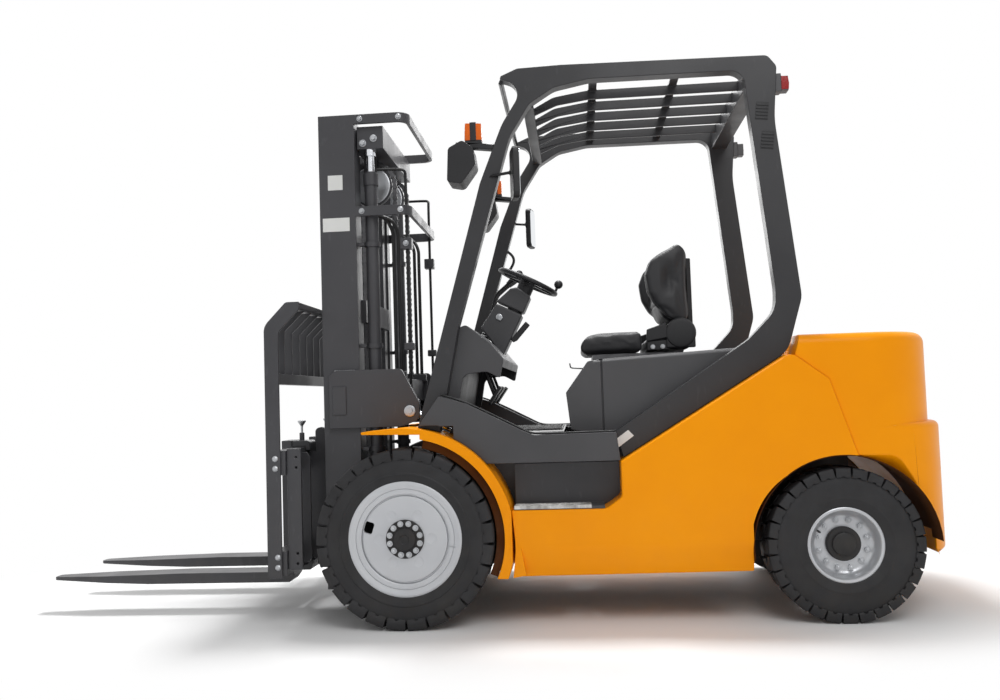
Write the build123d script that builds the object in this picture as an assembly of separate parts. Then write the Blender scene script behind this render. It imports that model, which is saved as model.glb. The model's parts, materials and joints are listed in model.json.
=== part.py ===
from build123d import *
import os
from math import atan2, cos, degrees, pi, radians, sin, sqrt, tan

# A 3-tonne counterbalance forklift with a two-stage mast.
# X points forward to the fork tips, Y to the truck's left and Z up. All sizes are in mm.
# Stations are measured from the front axle, and the whole truck is moved at the end,
# so that the origin lies on the floor below the middle of its length.

# Running gear
WHEELBASE = 1700
FRONT_TYRE_DIA = 710
FRONT_TYRE_WIDTH = 228
FRONT_TRACK = 1000
REAR_TYRE_DIA = 590
REAR_TYRE_WIDTH = 175
REAR_TRACK = 970
FRONT_RIM_DIA = 474
REAR_RIM_DIA = 306
RIM_WALL = 9
TREAD_DEPTH = 20
FRONT_LUGS = 22
REAR_LUGS = 24
LUG_REACH = 45
FRONT_DISC_Y = 76
REAR_DISC_Y = 14
FRONT_HUB_DIA = 150
REAR_HUB_DIA = 130
SPINDLE_HOLE = 80
REAR_SPINDLE_HOLE = 60
WHEEL_NUT_DIA = 18
KINGPIN_SPREAD = 704
KINGPIN_DIA = 36
AXLE_TUBE_DIA = 150
TRUNNION_DIA = 70
TRUNNION_REACH = 160
SEAT_FACE = 112
SADDLE_X = -170
RUNNING_GAP = 0.3
MOVING_GAP = 5

# Body
BODY_WIDTH = 1180
TANK_WIDTH = 190
FRAME_WIDTH = 756
FRAME_PLATE = 14
SKIRT_BOTTOM = 195
SKIRT_FRONT = -425
FLOOR_TOP = 756
FLOOR_PLATE = 10
STEP_HEIGHT = 462
STEP_DEPTH = 130
ARCH_RADIUS = 350
ARCH_RELIEF = 375
ARCH_FLARE = 62
SKIRT_TUCK = 34
TUCK_TOP = 318
FENDER_INNER_RADIUS = 396
FENDER_LIP = 40
FENDER_TOP = 792
FENDER_PLATE = 12
REAR_END = -2150
COUNTERWEIGHT_TOP = 1108
COUNTERWEIGHT_STEP = 40
COUNTERWEIGHT_CORNER = 280
SEAM_GAP = 0.8
SHELF_HEIGHT = 756
SHELF_EDGE = 24
TOP_EDGE = 42
TUNNEL_WIDTH = 480
TUNNEL_LOW = 790
TUNNEL_HEIGHT = 250
TUNNEL_DEPTH = 330
TOW_PIN_DIA = 30

# Overhead guard
GUARD_WIDTH = 1030
POST_WIDTH = 60
GUARD_TOP = 2250
RAIL_DEPTH = 66
ROOF_BAR = 12
ROOF_BAR_DEPTH = 40
ROOF_BARS = 5

# Cowl, hood and seat
COWL_WALL = 20
HOOD_WIDTH = 890
HOOD_SHEET = 18
HOOD_EDGE = 12
HOOD_FRONT_TOP = 1046
HOOD_REAR_TOP = 1072
HOOD_HINGE_X = -1500
HOOD_HINGE_Z = 1088
HINGE_PIN_DIA = 16
SEAT_WIDTH = 470
SEAT_FOOT = 1076
SEAT_WING = 85

# Mast
MAST_WIDTH = 700
MAST_BACK = 227
MAST_FRONT = 385
MAST_BOTTOM = 112
MAST_TOP = 2150
OUTER_WEB = 20
OUTER_FLANGE = 60
INNER_WEB = 20
INNER_FLANGE = 70
FLANGE_THICKNESS = 18
LIFT_TUBE_DIA = 56
LIFT_ROD_DIA = 34
TUBE_TOP = 1905
LIFT_SPREAD = 580
SHEAVE_DIA = 190
CHAIN_SPREAD = 280
CHAIN_WIDTH = 24
CHAIN_THICKNESS = 22
CHAIN_FOOT = 250
CHAIN_ANCHOR = 1000.3
TIE_HEIGHT = 42
TIE_BACK = -12
CARRIAGE_WIDTH = 1040
CARRIAGE_FACE = 560
CARRIAGE_BAR = 58
UPPER_BAR_LOW, UPPER_BAR_HIGH = 612, 712
LOWER_BAR_LOW, LOWER_BAR_HIGH = 204, 304
BACKREST_TOP = 1320
BACKREST_RAIL = 985
BACKREST_PLATE = 12
BACKREST_RAIL_HEIGHT = 44
BACKREST_SLATS = 9
SLAT_WIDTH = 12
FORK_LENGTH = 1070
FORK_WIDTH = 122
FORK_THICKNESS = 45
FORK_TIP_THICKNESS = 14
FORK_TIP_RISE = 18
FORK_FLAT = 460
FORK_BOTTOM = 128
FORK_SPREAD = 400

# Tilt cylinders
TILT_PIN_X, TILT_PIN_Z = 8, 857
TILT_BASE_X, TILT_BASE_Z = -560, 560
TILT_SPREAD = 660
TILT_TUBE_DIA = 60
TILT_ROD_DIA = 32
TILT_PIN_DIA = 25
ROD_EYE_PLAY = 6
ROD_EYE_DIA = 56

# Steering wheel
WHEEL_DIA = 296
WHEEL_RIM = 22
WHEEL_X, WHEEL_Z = -490, 1430
COLUMN_ANGLE = 25.8

FRAME_TAIL = -WHEELBASE + 390
ARCH_TOP = REAR_TYRE_DIA / 2 - 5 + ARCH_RADIUS
FRONT_RADIUS = FRONT_TYRE_DIA / 2
REAR_RADIUS = REAR_TYRE_DIA / 2
FRONT_Y = FRONT_TRACK / 2
REAR_Y = REAR_TRACK / 2
BODY_SIDE = BODY_WIDTH / 2
TANK_INNER = BODY_SIDE - TANK_WIDTH
FRAME_SIDE = FRAME_WIDTH / 2
GUARD_OUTER = GUARD_WIDTH / 2
GUARD_INNER = GUARD_OUTER - POST_WIDTH
MAST_SIDE = MAST_WIDTH / 2
OUTER_INNER_FACE = MAST_SIDE - OUTER_FLANGE
INNER_SIDE = OUTER_INNER_FACE - MOVING_GAP
INNER_INNER_FACE = INNER_SIDE - INNER_FLANGE
INNER_BACK = MAST_BACK + 8
INNER_FRONT = MAST_FRONT - 8
CARRIAGE_ROLLER = INNER_FRONT - INNER_BACK - 2 * FLANGE_THICKNESS - 2 * RUNNING_GAP
MAST_ROLLER = MAST_FRONT - MAST_BACK - 2 * FLANGE_THICKNESS - 2 * RUNNING_GAP
FORK_TIP_X = CARRIAGE_FACE + FORK_THICKNESS + FORK_LENGTH
MIDDLE = (FORK_TIP_X + REAR_END) / 2
FRAME_TOP = FLOOR_TOP - FLOOR_PLATE - RUNNING_GAP
SHEAVE_X = 200
SHEAVE_Z = 1880
CROSSHEAD_LOW = SHEAVE_Z + SHEAVE_DIA / 2 + CHAIN_THICKNESS + 7


def block(x0, x1, y0, y1, z0, z1):
    """A box between two corners."""
    return Pos((x0 + x1) / 2, (y0 + y1) / 2, (z0 + z1) / 2) * Box(x1 - x0, y1 - y0, z1 - z0)


def outline(points, radius=0.0):
    """A closed outline of (a, b) or (a, b, corner radius) points."""
    radii = [p[2] if len(p) > 2 else radius for p in points]
    flat = [(p[0], p[1]) for p in points]
    if any(radii):
        return make_face(FilletPolyline(*flat, radius=radii, close=True))
    return make_face(Polyline(*flat, close=True))


def side_prism(points, y0, y1, radius=0.0):
    """An outline of (x, z) points, extruded across the truck from y0 to y1."""
    return extrude(Plane.XZ.offset(-y1) * outline(points, radius), y1 - y0)


def plan_prism(points, z0, z1, radius=0.0):
    """An outline of (x, y) points, extruded upwards from z0 to z1."""
    return extrude(Plane.XY.offset(z0) * outline(points, radius), z1 - z0)


def front_prism(points, x0, x1, radius=0.0):
    """An outline of (y, z) points, extruded forwards from x0 to x1."""
    return extrude(Plane.YZ.offset(x0) * outline(points, radius), x1 - x0)


def pin_y(x, z, dia, y0, y1):
    """A round bar across the truck."""
    return Pos(x, (y0 + y1) / 2, z) * Rot(90, 0, 0) * Cylinder(dia / 2, abs(y1 - y0))


def pin_x(y, z, dia, x0, x1):
    """A round bar along the truck."""
    return Pos((x0 + x1) / 2, y, z) * Rot(0, 90, 0) * Cylinder(dia / 2, abs(x1 - x0))


def pin_z(x, y, dia, z0, z1):
    """An upright round bar."""
    return Pos(x, y, (z0 + z1) / 2) * Cylinder(dia / 2, z1 - z0)


def bar(start, end, dia):
    """A round bar from one point to another."""
    a, b = Vector(*start), Vector(*end)
    plane = Plane(origin=a, z_dir=b - a)
    return extrude(plane * Circle(dia / 2), (b - a).length)


def mirrored(shape):
    """The same piece on the other side of the truck."""
    return mirror(shape, about=Plane.XZ)


def pair(shape):
    """A piece and its mirror image, as loose solids of one sub-part."""
    return [*shape.solids(), *mirrored(shape).solids()]


def turned(points):
    """A body of revolution about the wheel's own axis, from (radius, y) points."""
    profile = Plane.XY * make_face(Polyline(*[(r, y) for r, y in points], close=True))
    return revolve(profile, Axis.Y)


def tyre(dia, width, rim_dia, lugs):
    """A tyre about the Y axis at the origin, in one flat sector for each pair of shoulder lugs."""
    outer = dia / 2
    bead = rim_dia / 2 - 8
    base = outer - TREAD_DEPTH
    half = width / 2
    shoulder = outer - LUG_REACH
    pitch = 2 * pi * outer / lugs
    spread = outer * 1.1
    sector = side_prism([(0, 0), (spread * tan(pi / lugs), spread), (-spread * tan(pi / lugs), spread)],
                        -width, width)
    carcass = front_prism([(-half * 0.86, bead), (-half * 0.96, shoulder), (-half * 0.78, base),
                           (half * 0.78, base), (half * 0.96, shoulder), (half * 0.86, bead)], -pitch,
                           pitch)
    lug_side = front_prism([(half * 0.14, base - 2), (half * 0.14, outer), (half * 0.86, outer),
                            (half, outer - 12),
                            (half * 0.96, shoulder)], -pitch, pitch)
    lug_plan = plan_prism([(-pitch * 0.36, half + 2), (pitch * 0.36, half + 2), (pitch * 0.42, 0),
                           (-pitch * 0.02, 0)],
                          0, outer + 1)
    lug = lug_side & lug_plan
    segment = (carcass & sector).fuse(lug, Rot(0, 0, 180) * lug)
    around = [Rot(0, 360 / lugs * i, 0) * segment for i in range(lugs)]
    return around[0].fuse(*around[1:])


def rim(dia, width, disc_y, hub_dia, hub_height, spindle_dia, nuts, nut_circle):
    """A disc wheel about the Y axis with its hub and nuts, its outer side towards +Y."""
    r = dia / 2
    half = width / 2 * 0.84
    seat = r - 9
    wall = seat - RIM_WALL
    face = disc_y + 10
    top = face + hub_height
    wheel = turned([
        (r, half), (r, half - 8), (seat, half - 16), (seat, -half + 16), (r, -half + 8), (r, -half),
        (wall, -half),
        (wall, disc_y - 14), (wall - 34, disc_y), (spindle_dia / 2 + RUNNING_GAP, disc_y),
        (spindle_dia / 2 + RUNNING_GAP, face), (0, face), (0, top), (hub_dia * 0.30, top),
        (hub_dia * 0.34, top - 8), (hub_dia * 0.34, face + 10), (hub_dia / 2, face + 10),
        (hub_dia / 2, face),
        (wall - 26, face), (wall - 22, face - 6), (wall - 14, face - 6), (wall - 10, face),
        (wall, half - 14),
        (wall + 8, half),
    ])
    nut = pin_y(nut_circle / 2, 0, WHEEL_NUT_DIA, face - 1, face + 18)
    studs = [Rot(0, 360 / nuts * (i + 0.5), 0) * nut for i in range(nuts)]
    return wheel.fuse(*studs)


def wheels():
    """The tyres and rims at their places."""
    front_tyre = tyre(FRONT_TYRE_DIA, FRONT_TYRE_WIDTH, FRONT_RIM_DIA, FRONT_LUGS)
    rear_tyre = tyre(REAR_TYRE_DIA, REAR_TYRE_WIDTH, REAR_RIM_DIA, REAR_LUGS)
    bead_play = 16 + 2 * RUNNING_GAP
    front_rim = rim(FRONT_RIM_DIA - bead_play, FRONT_TYRE_WIDTH, FRONT_DISC_Y, FRONT_HUB_DIA, 24,
                    SPINDLE_HOLE, 12,
                    FRONT_HUB_DIA - 26)
    rear_rim = rim(REAR_RIM_DIA - bead_play, REAR_TYRE_WIDTH, REAR_DISC_Y, REAR_HUB_DIA, 34,
                   REAR_SPINDLE_HOLE, 12,
                   REAR_HUB_DIA + 46)
    front_place = Pos(0, FRONT_Y, FRONT_RADIUS)
    rear_place = Pos(-WHEELBASE, REAR_Y, REAR_RADIUS)
    nodes = {}
    for name, place, rubber, metal in (
        ("front", front_place, front_tyre, front_rim),
        ("rear", rear_place, rear_tyre, rear_rim),
    ):
        nodes[name + "_tyre_left"] = place * rubber
        nodes[name + "_tyre_right"] = mirrored(place * rubber)
        nodes[name + "_rim_left"] = place * metal
        nodes[name + "_rim_right"] = mirrored(place * metal)
    return nodes


def drive_axle():
    """The front axle: a banjo housing, two tubes, and the hubs that carry the wheels."""
    z = FRONT_RADIUS
    tube = pin_y(0, z, AXLE_TUBE_DIA, -370, 370)
    banjo = Pos(-20, 0, z) * Rot(90, 0, 0) * Cylinder(150, 250)
    housing = fillet(banjo.edges().filter_by(GeomType.CIRCLE), 40)
    nose = pin_x(0, z, 190, -190, -20)
    disc = FRONT_Y + FRONT_DISC_Y - RUNNING_GAP
    spigot = SPINDLE_HOLE / 2
    hub_points = [(0, 340), (75, 340), (75, 352), (96, 352), (96, 380), (74, 400), (74, disc - 12),
                  (120, disc - 12),
                  (120, disc), (spigot, disc), (spigot, disc + 9), (0, disc + 9)]
    hub = Pos(0, 0, z) * revolve(make_face(Polyline(*hub_points, close=True)), Axis.Y)
    axle = tube.fuse(housing, nose, hub, mirrored(hub))
    return axle


def steer_axle():
    """The rear axle beam with its trunnions and kingpin yokes."""
    x, z = -WHEELBASE, REAR_RADIUS
    king = KINGPIN_SPREAD / 2
    beam = block(x - 50, x + 50, -king + 80, king - 80, z - 62, z + 62)
    beam = fillet(beam.edges().filter_by(Axis.Y), 12)
    trunnion = pin_x(0, z, TRUNNION_DIA, x - TRUNNION_REACH + 5, x + TRUNNION_REACH - 5)
    yokes = []
    for low in (z - 80, z + 56):
        plate = plan_prism([(x - 50, king - 110), (x + 50, king - 110), (x + 36, king + 30, 24),
                            (x - 36, king + 30, 24)], low, low + 24)
        yokes.append(plate.cut(pin_z(x, king, KINGPIN_DIA, low - 1, low + 25)))
    cylinder = pin_y(x + 76, z - 20, 60, -150, 150)
    bracket = block(x + 45, x + 80, -60, 60, z - 45, z + 5)
    return beam.fuse(trunnion, *yokes, *[mirrored(y) for y in yokes], cylinder, bracket)


def knuckles():
    """The steered knuckles: kingpin, spindle and steering arm."""
    x, z = -WHEELBASE, REAR_RADIUS
    king = KINGPIN_SPREAD / 2
    pin = pin_z(x, king, KINGPIN_DIA - 2 * RUNNING_GAP, z - 84, z + 84)
    body = pin_z(x, king, 70, z - 50, z + 50)
    face = REAR_Y + REAR_DISC_Y - RUNNING_GAP
    spigot = REAR_SPINDLE_HOLE / 2
    spindle_points = [(0, king), (40, king), (40, king + 40), (76, face - 30), (76, face), (spigot, face),
                      (spigot, face + 9), (0, face + 9)]
    spindle = Pos(x, 0, z) * revolve(make_face(Polyline(*spindle_points, close=True)), Axis.Y)
    left = pin.fuse(body, spindle)
    return {"knuckle_left": left, "knuckle_right": mirrored(left)}


def frame():
    """The chassis: two side plates, cross plates, axle seats and cylinder lugs."""
    y0 = FRAME_SIDE - FRAME_PLATE
    tail = FRAME_TAIL
    rail = side_prism(
        [(-118, 250), (-118, 470), (-160, 600), (-160, FRAME_TOP), (tail, FRAME_TOP), (tail, 250),
         (tail + 90, 215),
         (-200, 215)], y0, FRAME_SIDE)
    pieces = [rail, mirrored(rail)]
    pieces.append(block(tail, tail + 20, -y0, y0, 215, 560))
    pieces.append(block(-620, -600, -y0, y0, 215, 290))
    trunnion = TRUNNION_DIA + 2 * RUNNING_GAP
    axle_x = -WHEELBASE
    tower = block(tail - 20, tail, -110, 110, 240, 700)
    spine = block(axle_x - TRUNNION_REACH, tail, -85, 85, 420, 600)
    front_seat = block(axle_x + SEAT_FACE, tail, -60, 60, 240, 421)
    seat_bore = pin_x(0, REAR_RADIUS, trunnion, axle_x + 100, tail + 10)
    rear_hanger = block(axle_x - TRUNNION_REACH, axle_x - SEAT_FACE, -60, 60, 240, 600)
    rear_bore = pin_x(0, REAR_RADIUS, trunnion, axle_x - TRUNNION_REACH - 10, axle_x - SEAT_FACE + 10)
    pieces += [tower, spine, front_seat.cut(seat_bore), rear_hanger.cut(rear_bore)]
    saddle = side_prism([(SADDLE_X - 1, 285), (SADDLE_X - 1, 425), (0, 445), (0, 265)], 215, 245)
    saddle = saddle.cut(pin_y(0, FRONT_RADIUS, AXLE_TUBE_DIA + 2 * RUNNING_GAP, 210, 250))
    saddle_plate = block(SADDLE_X - 20, SADDLE_X, 120, y0 + 1, 280, 430)
    pieces += [saddle, mirrored(saddle), saddle_plate, mirrored(saddle_plate)]
    for side in (-1, 1):
        inner = side * (TILT_SPREAD / 2 - 34)
        low = TILT_BASE_Z - 80
        lug = side_prism([(TILT_BASE_X - 40, low), (TILT_BASE_X + 40, low),
                          (TILT_BASE_X + 40, low + 115, 30),
                          (TILT_BASE_X - 40, low + 115, 30)],
                         min(inner, inner - side * 14), max(inner, inner - side * 14))
        lug = lug.cut(pin_y(TILT_BASE_X, TILT_BASE_Z, TILT_PIN_DIA, -400, 400))
        pieces.append(lug)
        shelf_y = sorted([inner - side * 14, side * y0])
        shelf = block(TILT_BASE_X - 45, TILT_BASE_X + 45, *shelf_y, low - 14, low + 0.5)
        pieces.append(shelf)
        pieces.append(pin_y(TILT_BASE_X, TILT_BASE_Z, TILT_PIN_DIA - 1, inner - side * 10, side * (y0 + 4)))
    body = pieces[0].fuse(*pieces[1:])
    return body


def arch_cut(width_from, width_to, radius):
    """The round space that a steered wheel turns in."""
    return pin_y(-WHEELBASE, REAR_RADIUS - 5, 2 * radius, width_from, width_to)


def seam_points(gap):
    """The seam between side panel and counterweight, moved rearward by a gap."""
    return [(-1538 - gap, 1028), (-1662 - gap, 933), (-1758 - gap, ARCH_TOP - 8),
            (-1758 - gap, ARCH_TOP - 70)]


def side_panels():
    """The painted side boxes below the guard, from the front wheel to the rear arch."""
    well_back = -857
    seam = seam_points(0)
    points = [
        (SKIRT_FRONT - 22, SKIRT_BOTTOM), (SKIRT_FRONT, STEP_HEIGHT - 4), (-796, STEP_HEIGHT - 4, 58),
        (well_back, STEP_HEIGHT + 40, 30), (well_back, 637, 6), (-869, 644), (-1511, 1032), *seam,
        (-1352, ARCH_TOP - 70), (-1352, SKIRT_BOTTOM + 8),
    ]
    box = side_prism(points, TANK_INNER, BODY_SIDE)
    edge = [e for e in box.edges().filter_by(GeomType.LINE) if e.center().Y > BODY_SIDE - 1 and e.length > 600]
    box = fillet(edge, 8)
    box = box.cut(arch_cut(TANK_INNER - 1, BODY_SIDE + 1, ARCH_RADIUS), arch_cut(TANK_INNER - 1, 480,
                                                                                 ARCH_RELIEF))
    tuck = front_prism([(BODY_SIDE + 1, SKIRT_BOTTOM - 1), (BODY_SIDE - SKIRT_TUCK, SKIRT_BOTTOM - 1),
                        (BODY_SIDE, TUCK_TOP), (BODY_SIDE + 1, TUCK_TOP)], -1400, -400)
    return pair(box.cut(tuck))


def front_fenders():
    """The painted front fenders: a flat top that rolls down behind the wheel."""
    r_in = FENDER_INNER_RADIUS
    r_out = r_in + FENDER_LIP
    z = FRONT_RADIUS
    y0, y1 = FRAME_SIDE + 0.5, BODY_SIDE + 12
    ring = pin_y(0, z, 2 * r_out, y0, y1).cut(pin_y(0, z, 2 * r_in, y0 - 1, y1 + 1))
    keep = block(-r_out - 1, -70, y0, y1, SKIRT_BOTTOM, z + r_out + 1)
    lip = ring & keep
    top = side_prism([(-70.5, FENDER_TOP - 28), (165, FENDER_TOP - 22), (165, FENDER_TOP - 12),
                      (0, FENDER_TOP),
                      (-70.5, FENDER_TOP - 6)], y0, y1)
    skirt_side = block(SKIRT_FRONT + 0.3, 170, y0, y1, SKIRT_BOTTOM, FENDER_TOP)
    whole = lip.fuse(top) & skirt_side
    hollow = pin_y(0, z, 2 * (r_out - FENDER_PLATE), y0 - 1, y1 - 20)
    return pair(whole.cut(hollow.cut(block(-80, 400, y0 - 2, y1, 0, 900))))


def steps():
    """The black step recesses between skirt and floor."""
    y0, y1 = BODY_SIDE - STEP_DEPTH, BODY_SIDE - 4
    plate = block(-790, SKIRT_FRONT - 8, y0, y1, STEP_HEIGHT - 3.5, STEP_HEIGHT + 8)
    riser = block(-856.5, SKIRT_FRONT - 8, TANK_INNER, y0 - 0.3, STEP_HEIGHT - 3.5, 630)
    well = plate.fuse(riser, block(-790, SKIRT_FRONT - 8, y0 - 1, y0 + 1, STEP_HEIGHT - 3.5,
                                   STEP_HEIGHT + 8))
    return pair(well.cut(*side_panels()))


def floor_trims():
    """The dark side panels between the front fender and the hood."""
    y0, y1 = GUARD_OUTER + RUNNING_GAP, BODY_SIDE - 20
    points = [(-60, 797), (-146, 915, 14), (-258, 880, 30), (-476, 768, 30), (-521, 749, 20), (-845, 752),
              (-858, 640), (-300, 640), (-140, 797)]
    trim = side_prism(points, y0, y1)
    trim = trim.cut(pin_y(0, FRONT_RADIUS, 2 * (FENDER_INNER_RADIUS + FENDER_LIP + RUNNING_GAP), y0 - 1,
                          y1 + 1))
    trim = trim.cut(block(-200, 200, y0 - 1, y1 + 1, 500, FENDER_TOP + 1))
    return pair(trim)


def floor_plate():
    """The floor with its ramp up to the cowl."""
    plate = block(-640, -205, -GUARD_INNER + 6, GUARD_INNER - 6, FLOOR_TOP - FLOOR_PLATE, FLOOR_TOP)
    ramp = side_prism([(-207, FLOOR_TOP - FLOOR_PLATE), (-207, FLOOR_TOP), (-152, 850), (-142, 843)],
                      -GUARD_INNER + 6, GUARD_INNER - 6)
    floor = plate.fuse(ramp)
    for side in (-1, 1):
        inner, outer = side * (TILT_SPREAD / 2 - 42), side * (TILT_SPREAD / 2 + 42)
        floor = floor.cut(block(-350, -100, min(inner, outer), max(inner, outer), 700, 900))
    return floor


def cowl():
    """The front cowl and dash: a shell that is open to the rear for the driver's legs."""
    outside = [(-150, 860), (-142, 850), (-130, 850), (-205, 1190, 20), (-250, 1206, 20), (-345, 1130, 16),
               (-402, 1060, 16), (-385, 985), (-345, 980), (-268, 930, 20), (-215, 862)]
    inside = [(-172, 840), (-226, 1130, 20), (-262, 1160, 20), (-345, 1098, 16), (-372, 1058, 12),
              (-420, 985),
              (-420, 840)]
    wide = GUARD_INNER - RUNNING_GAP
    shell = side_prism(outside, -wide, wide)
    shell = shell.cut(side_prism(inside, -wide + COWL_WALL, wide - COWL_WALL))
    leg_arch = side_prism([(-205, 840), (-232, 1000, 40), (-330, 1010, 40), (-420, 960), (-420, 840)],
                          -wide - 1, wide + 1)
    return shell.cut(leg_arch)


def column_point(distance, y=0.0):
    """A point down the steering column, from the wheel's centre."""
    lean = radians(COLUMN_ANGLE)
    return (WHEEL_X + distance * sin(lean), y, WHEEL_Z - distance * cos(lean))


def steering_column():
    """The steering column, from the cowl to the wheel's hub."""
    return bar(column_point(21 + RUNNING_GAP), column_point(330), 74).cut(cowl())


def steering_wheel():
    """The steering wheel: rim, three flat spokes, hub and spinner knob."""
    ring = Torus(WHEEL_DIA / 2 - WHEEL_RIM / 2, WHEEL_RIM / 2)
    hub = Pos(0, 0, -6) * Cylinder(36, 30)
    pieces = [ring, hub]
    reach = WHEEL_DIA / 2 - WHEEL_RIM
    for turn in (90, 210, 330):
        spoke = plan_prism([(20, -17), (reach + 4, -11), (reach + 4, 11), (20, 17)], -7, 1)
        pieces.append(Rot(0, 0, turn) * spoke)
    knob = Pos(-reach - 8, 0, 0) * (Cylinder(6, 45, align=(Align.CENTER, Align.CENTER, Align.MIN))
                                    + Pos(0, 0, 45) * Sphere(20))
    wheel = pieces[0].fuse(*pieces[1:], knob)
    return Pos(WHEEL_X, 0, WHEEL_Z) * Rot(0, -COLUMN_ANGLE, 0) * wheel


def control_levers():
    """Three bent hydraulic levers beside the column."""
    levers = []
    for i in range(3):
        y = -175 - 45 * i
        foot, bend, top = (-258, y, 1188), (-325, y, 1400), (-440, y, 1495)
        path = FilletPolyline(foot, bend, top, radius=60)
        rod = sweep(Plane(origin=foot, z_dir=path % 0) * Circle(6), path)
        levers.append(rod.fuse(Pos(*top) * Sphere(17)).cut(cowl()))
    return [s for lever in levers for s in lever.solids()]


def pedals():
    """Inching, brake and accelerator pedals, hung from a shaft under the dash."""
    shaft_x, shaft_z = -258, 1120
    items = []
    for y, wide in ((150, 70), (0, 90), (-190, 60)):
        pad = Pos(-335, y, 912) * Rot(0, -35, 0) * Box(14, wide, 90)
        pad = fillet(pad.edges().filter_by(lambda e: e.length < 15), 6)
        stem = bar((-331, y, 912), (shaft_x, y, shaft_z), 14)
        items.append(pad.fuse(stem))
    shaft = pin_y(shaft_x, shaft_z, 24, -GUARD_INNER + COWL_WALL + 2 * RUNNING_GAP,
                  GUARD_INNER - COWL_WALL - 2 * RUNNING_GAP)
    return [items[0].fuse(*items[1:], shaft)]


def counterweight_plan(rear, side, corner):
    """The counterweight's plan: straight sides, big rear corners and a flat middle."""
    return [(-1300, -side), (-1300, side), (rear + 20, side, corner), (rear, 180, 60), (rear, -180, 60),
            (rear + 20, -side, corner)]


def counterweight():
    """The cast counterweight: a stepped casting with rounded corners, a flared arch and a radiator tunnel."""
    side = BODY_SIDE - 10
    inset = COUNTERWEIGHT_STEP
    low = plan_prism(counterweight_plan(REAR_END, side, COUNTERWEIGHT_CORNER), 243, SHELF_HEIGHT)
    low = fillet(low.edges().group_by(Axis.Z)[-1], SHELF_EDGE)
    low = chamfer(low.edges().group_by(Axis.Z)[0], 18)
    up = plan_prism(counterweight_plan(REAR_END + inset, side, COUNTERWEIGHT_CORNER), 400,
                    COUNTERWEIGHT_TOP)
    up = fillet(up.edges().group_by(Axis.Z)[-1], TOP_EDGE)
    front = seam_points(SEAM_GAP)
    side_view = side_prism([(-1562, COUNTERWEIGHT_TOP + 1), *front, (-1760, 350), (-2010, 350),
                            (-2062, 242, 40),
                            (REAR_END - 1, 242), (REAR_END - 1, COUNTERWEIGHT_TOP + 1)], -side - 1,
                            side + 1)
    body = low.fuse(up) & side_view
    body = body.cut(arch_cut(-side - 1, side + 1, ARCH_RADIUS), arch_cut(-480, 480, ARCH_RELIEF))
    mouth = outline([(-1700, 200), (-1700, ARCH_TOP - 2), (-1905, ARCH_TOP - 2, 80), (-2002, 520, 120),
                     (-2045, 200)])
    flare = extrude(Plane.XZ.offset(-side - 1) * mouth, ARCH_FLARE + 1, taper=40)
    body = body.cut(flare, mirrored(flare))
    tunnel = block(REAR_END - 1, REAR_END + TUNNEL_DEPTH, -TUNNEL_WIDTH / 2, TUNNEL_WIDTH / 2,
                   TUNNEL_LOW, TUNNEL_LOW + TUNNEL_HEIGHT)
    tunnel = fillet(tunnel.edges().filter_by(Axis.X), 30)
    pin_x_place = REAR_END + 28
    slot = block(REAR_END - 1, REAR_END + 60, -40, 40, 520, 580)
    pocket = pin_z(pin_x_place, 0, 110, SHELF_HEIGHT - 8, 830)
    bore = pin_z(pin_x_place, 0, TOW_PIN_DIA + 1, 470, 760)
    return body.cut(tunnel, slot, pocket, bore)


def tow_pin():
    """The tow pin with its round handle."""
    pin = pin_z(REAR_END + 28, 0, TOW_PIN_DIA, 480, 752)
    head = pin_z(REAR_END + 28, 0, 44, 749, 770)
    return pin.fuse(head)


def rear_grille():
    """The guard grille in the radiator tunnel."""
    low = TUNNEL_LOW
    width = TUNNEL_WIDTH / 2 - RUNNING_GAP
    x0 = REAR_END + COUNTERWEIGHT_STEP + 20
    frame_ring = block(x0, x0 + 14, -width, width, low + RUNNING_GAP, low + TUNNEL_HEIGHT - RUNNING_GAP)
    frame_ring = fillet(frame_ring.edges().filter_by(Axis.X), 30)
    frame_ring = frame_ring.cut(block(x0 - 1, x0 + 15, -width + 18, width - 18, low + 18,
                                      low + TUNNEL_HEIGHT - 18))
    bars = [block(x0 + 2, x0 + 12, -width + 10, width - 10, low + 12 + 27 * i,
                  low + 24 + 27 * i) for i in range(1, 9)]
    return frame_ring.fuse(*bars)


def radiator_cover():
    """The low cover over the radiator cap, with its round filler."""
    base = block(-1830, -1660, -110, 110, COUNTERWEIGHT_TOP, COUNTERWEIGHT_TOP + 20)
    base = fillet(base.edges().filter_by(Axis.Z), 20)
    return chamfer(base.edges().group_by(Axis.Z)[-1], 6)


def engine():
    """The engine and gearbox, as one plain mass."""
    motor = block(-1285, -700, -235, 235, 330, 900)
    gearbox = block(-701, -200, -160, 160, 290.3, 560)
    return motor.fuse(gearbox)


def guard_side():
    """One side of the overhead guard: bent front post, roof rail, rear post and rear leg."""
    top = GUARD_TOP
    outer = [
        (-48, 786), (-128, 1062), (-333, top - 471), (-430, top - 232, 300), (-530, top - 80, 60),
        (-428, top - 44), (-432, top - 32, 6), (-500, top - 4, 40), (-680, top, 200), (-1505, top - 14, 30),
        (-1540, top - 60, 30), (-1522, top - 275, 400), (-1575, 1457, 500), (-1594, 1260, 110),
        (-1530, 1046, 110),
        (-872, 648), (-845, 752), (-1380, 1098, 150), (-1490, 1210, 110), (-1493, 1296, 300),
        (-1463, top - 647, 400), (-1407, top - 70, 60), (-793, top - RAIL_DEPTH, 200),
        (-647, top - 93, 100),
        (-547, top - 154, 60), (-460, top - 287, 200), (-226, 1189), (-139, 764),
    ]
    side = side_prism(outer, GUARD_INNER, GUARD_OUTER)
    return side.cut(*front_fenders())


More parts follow.
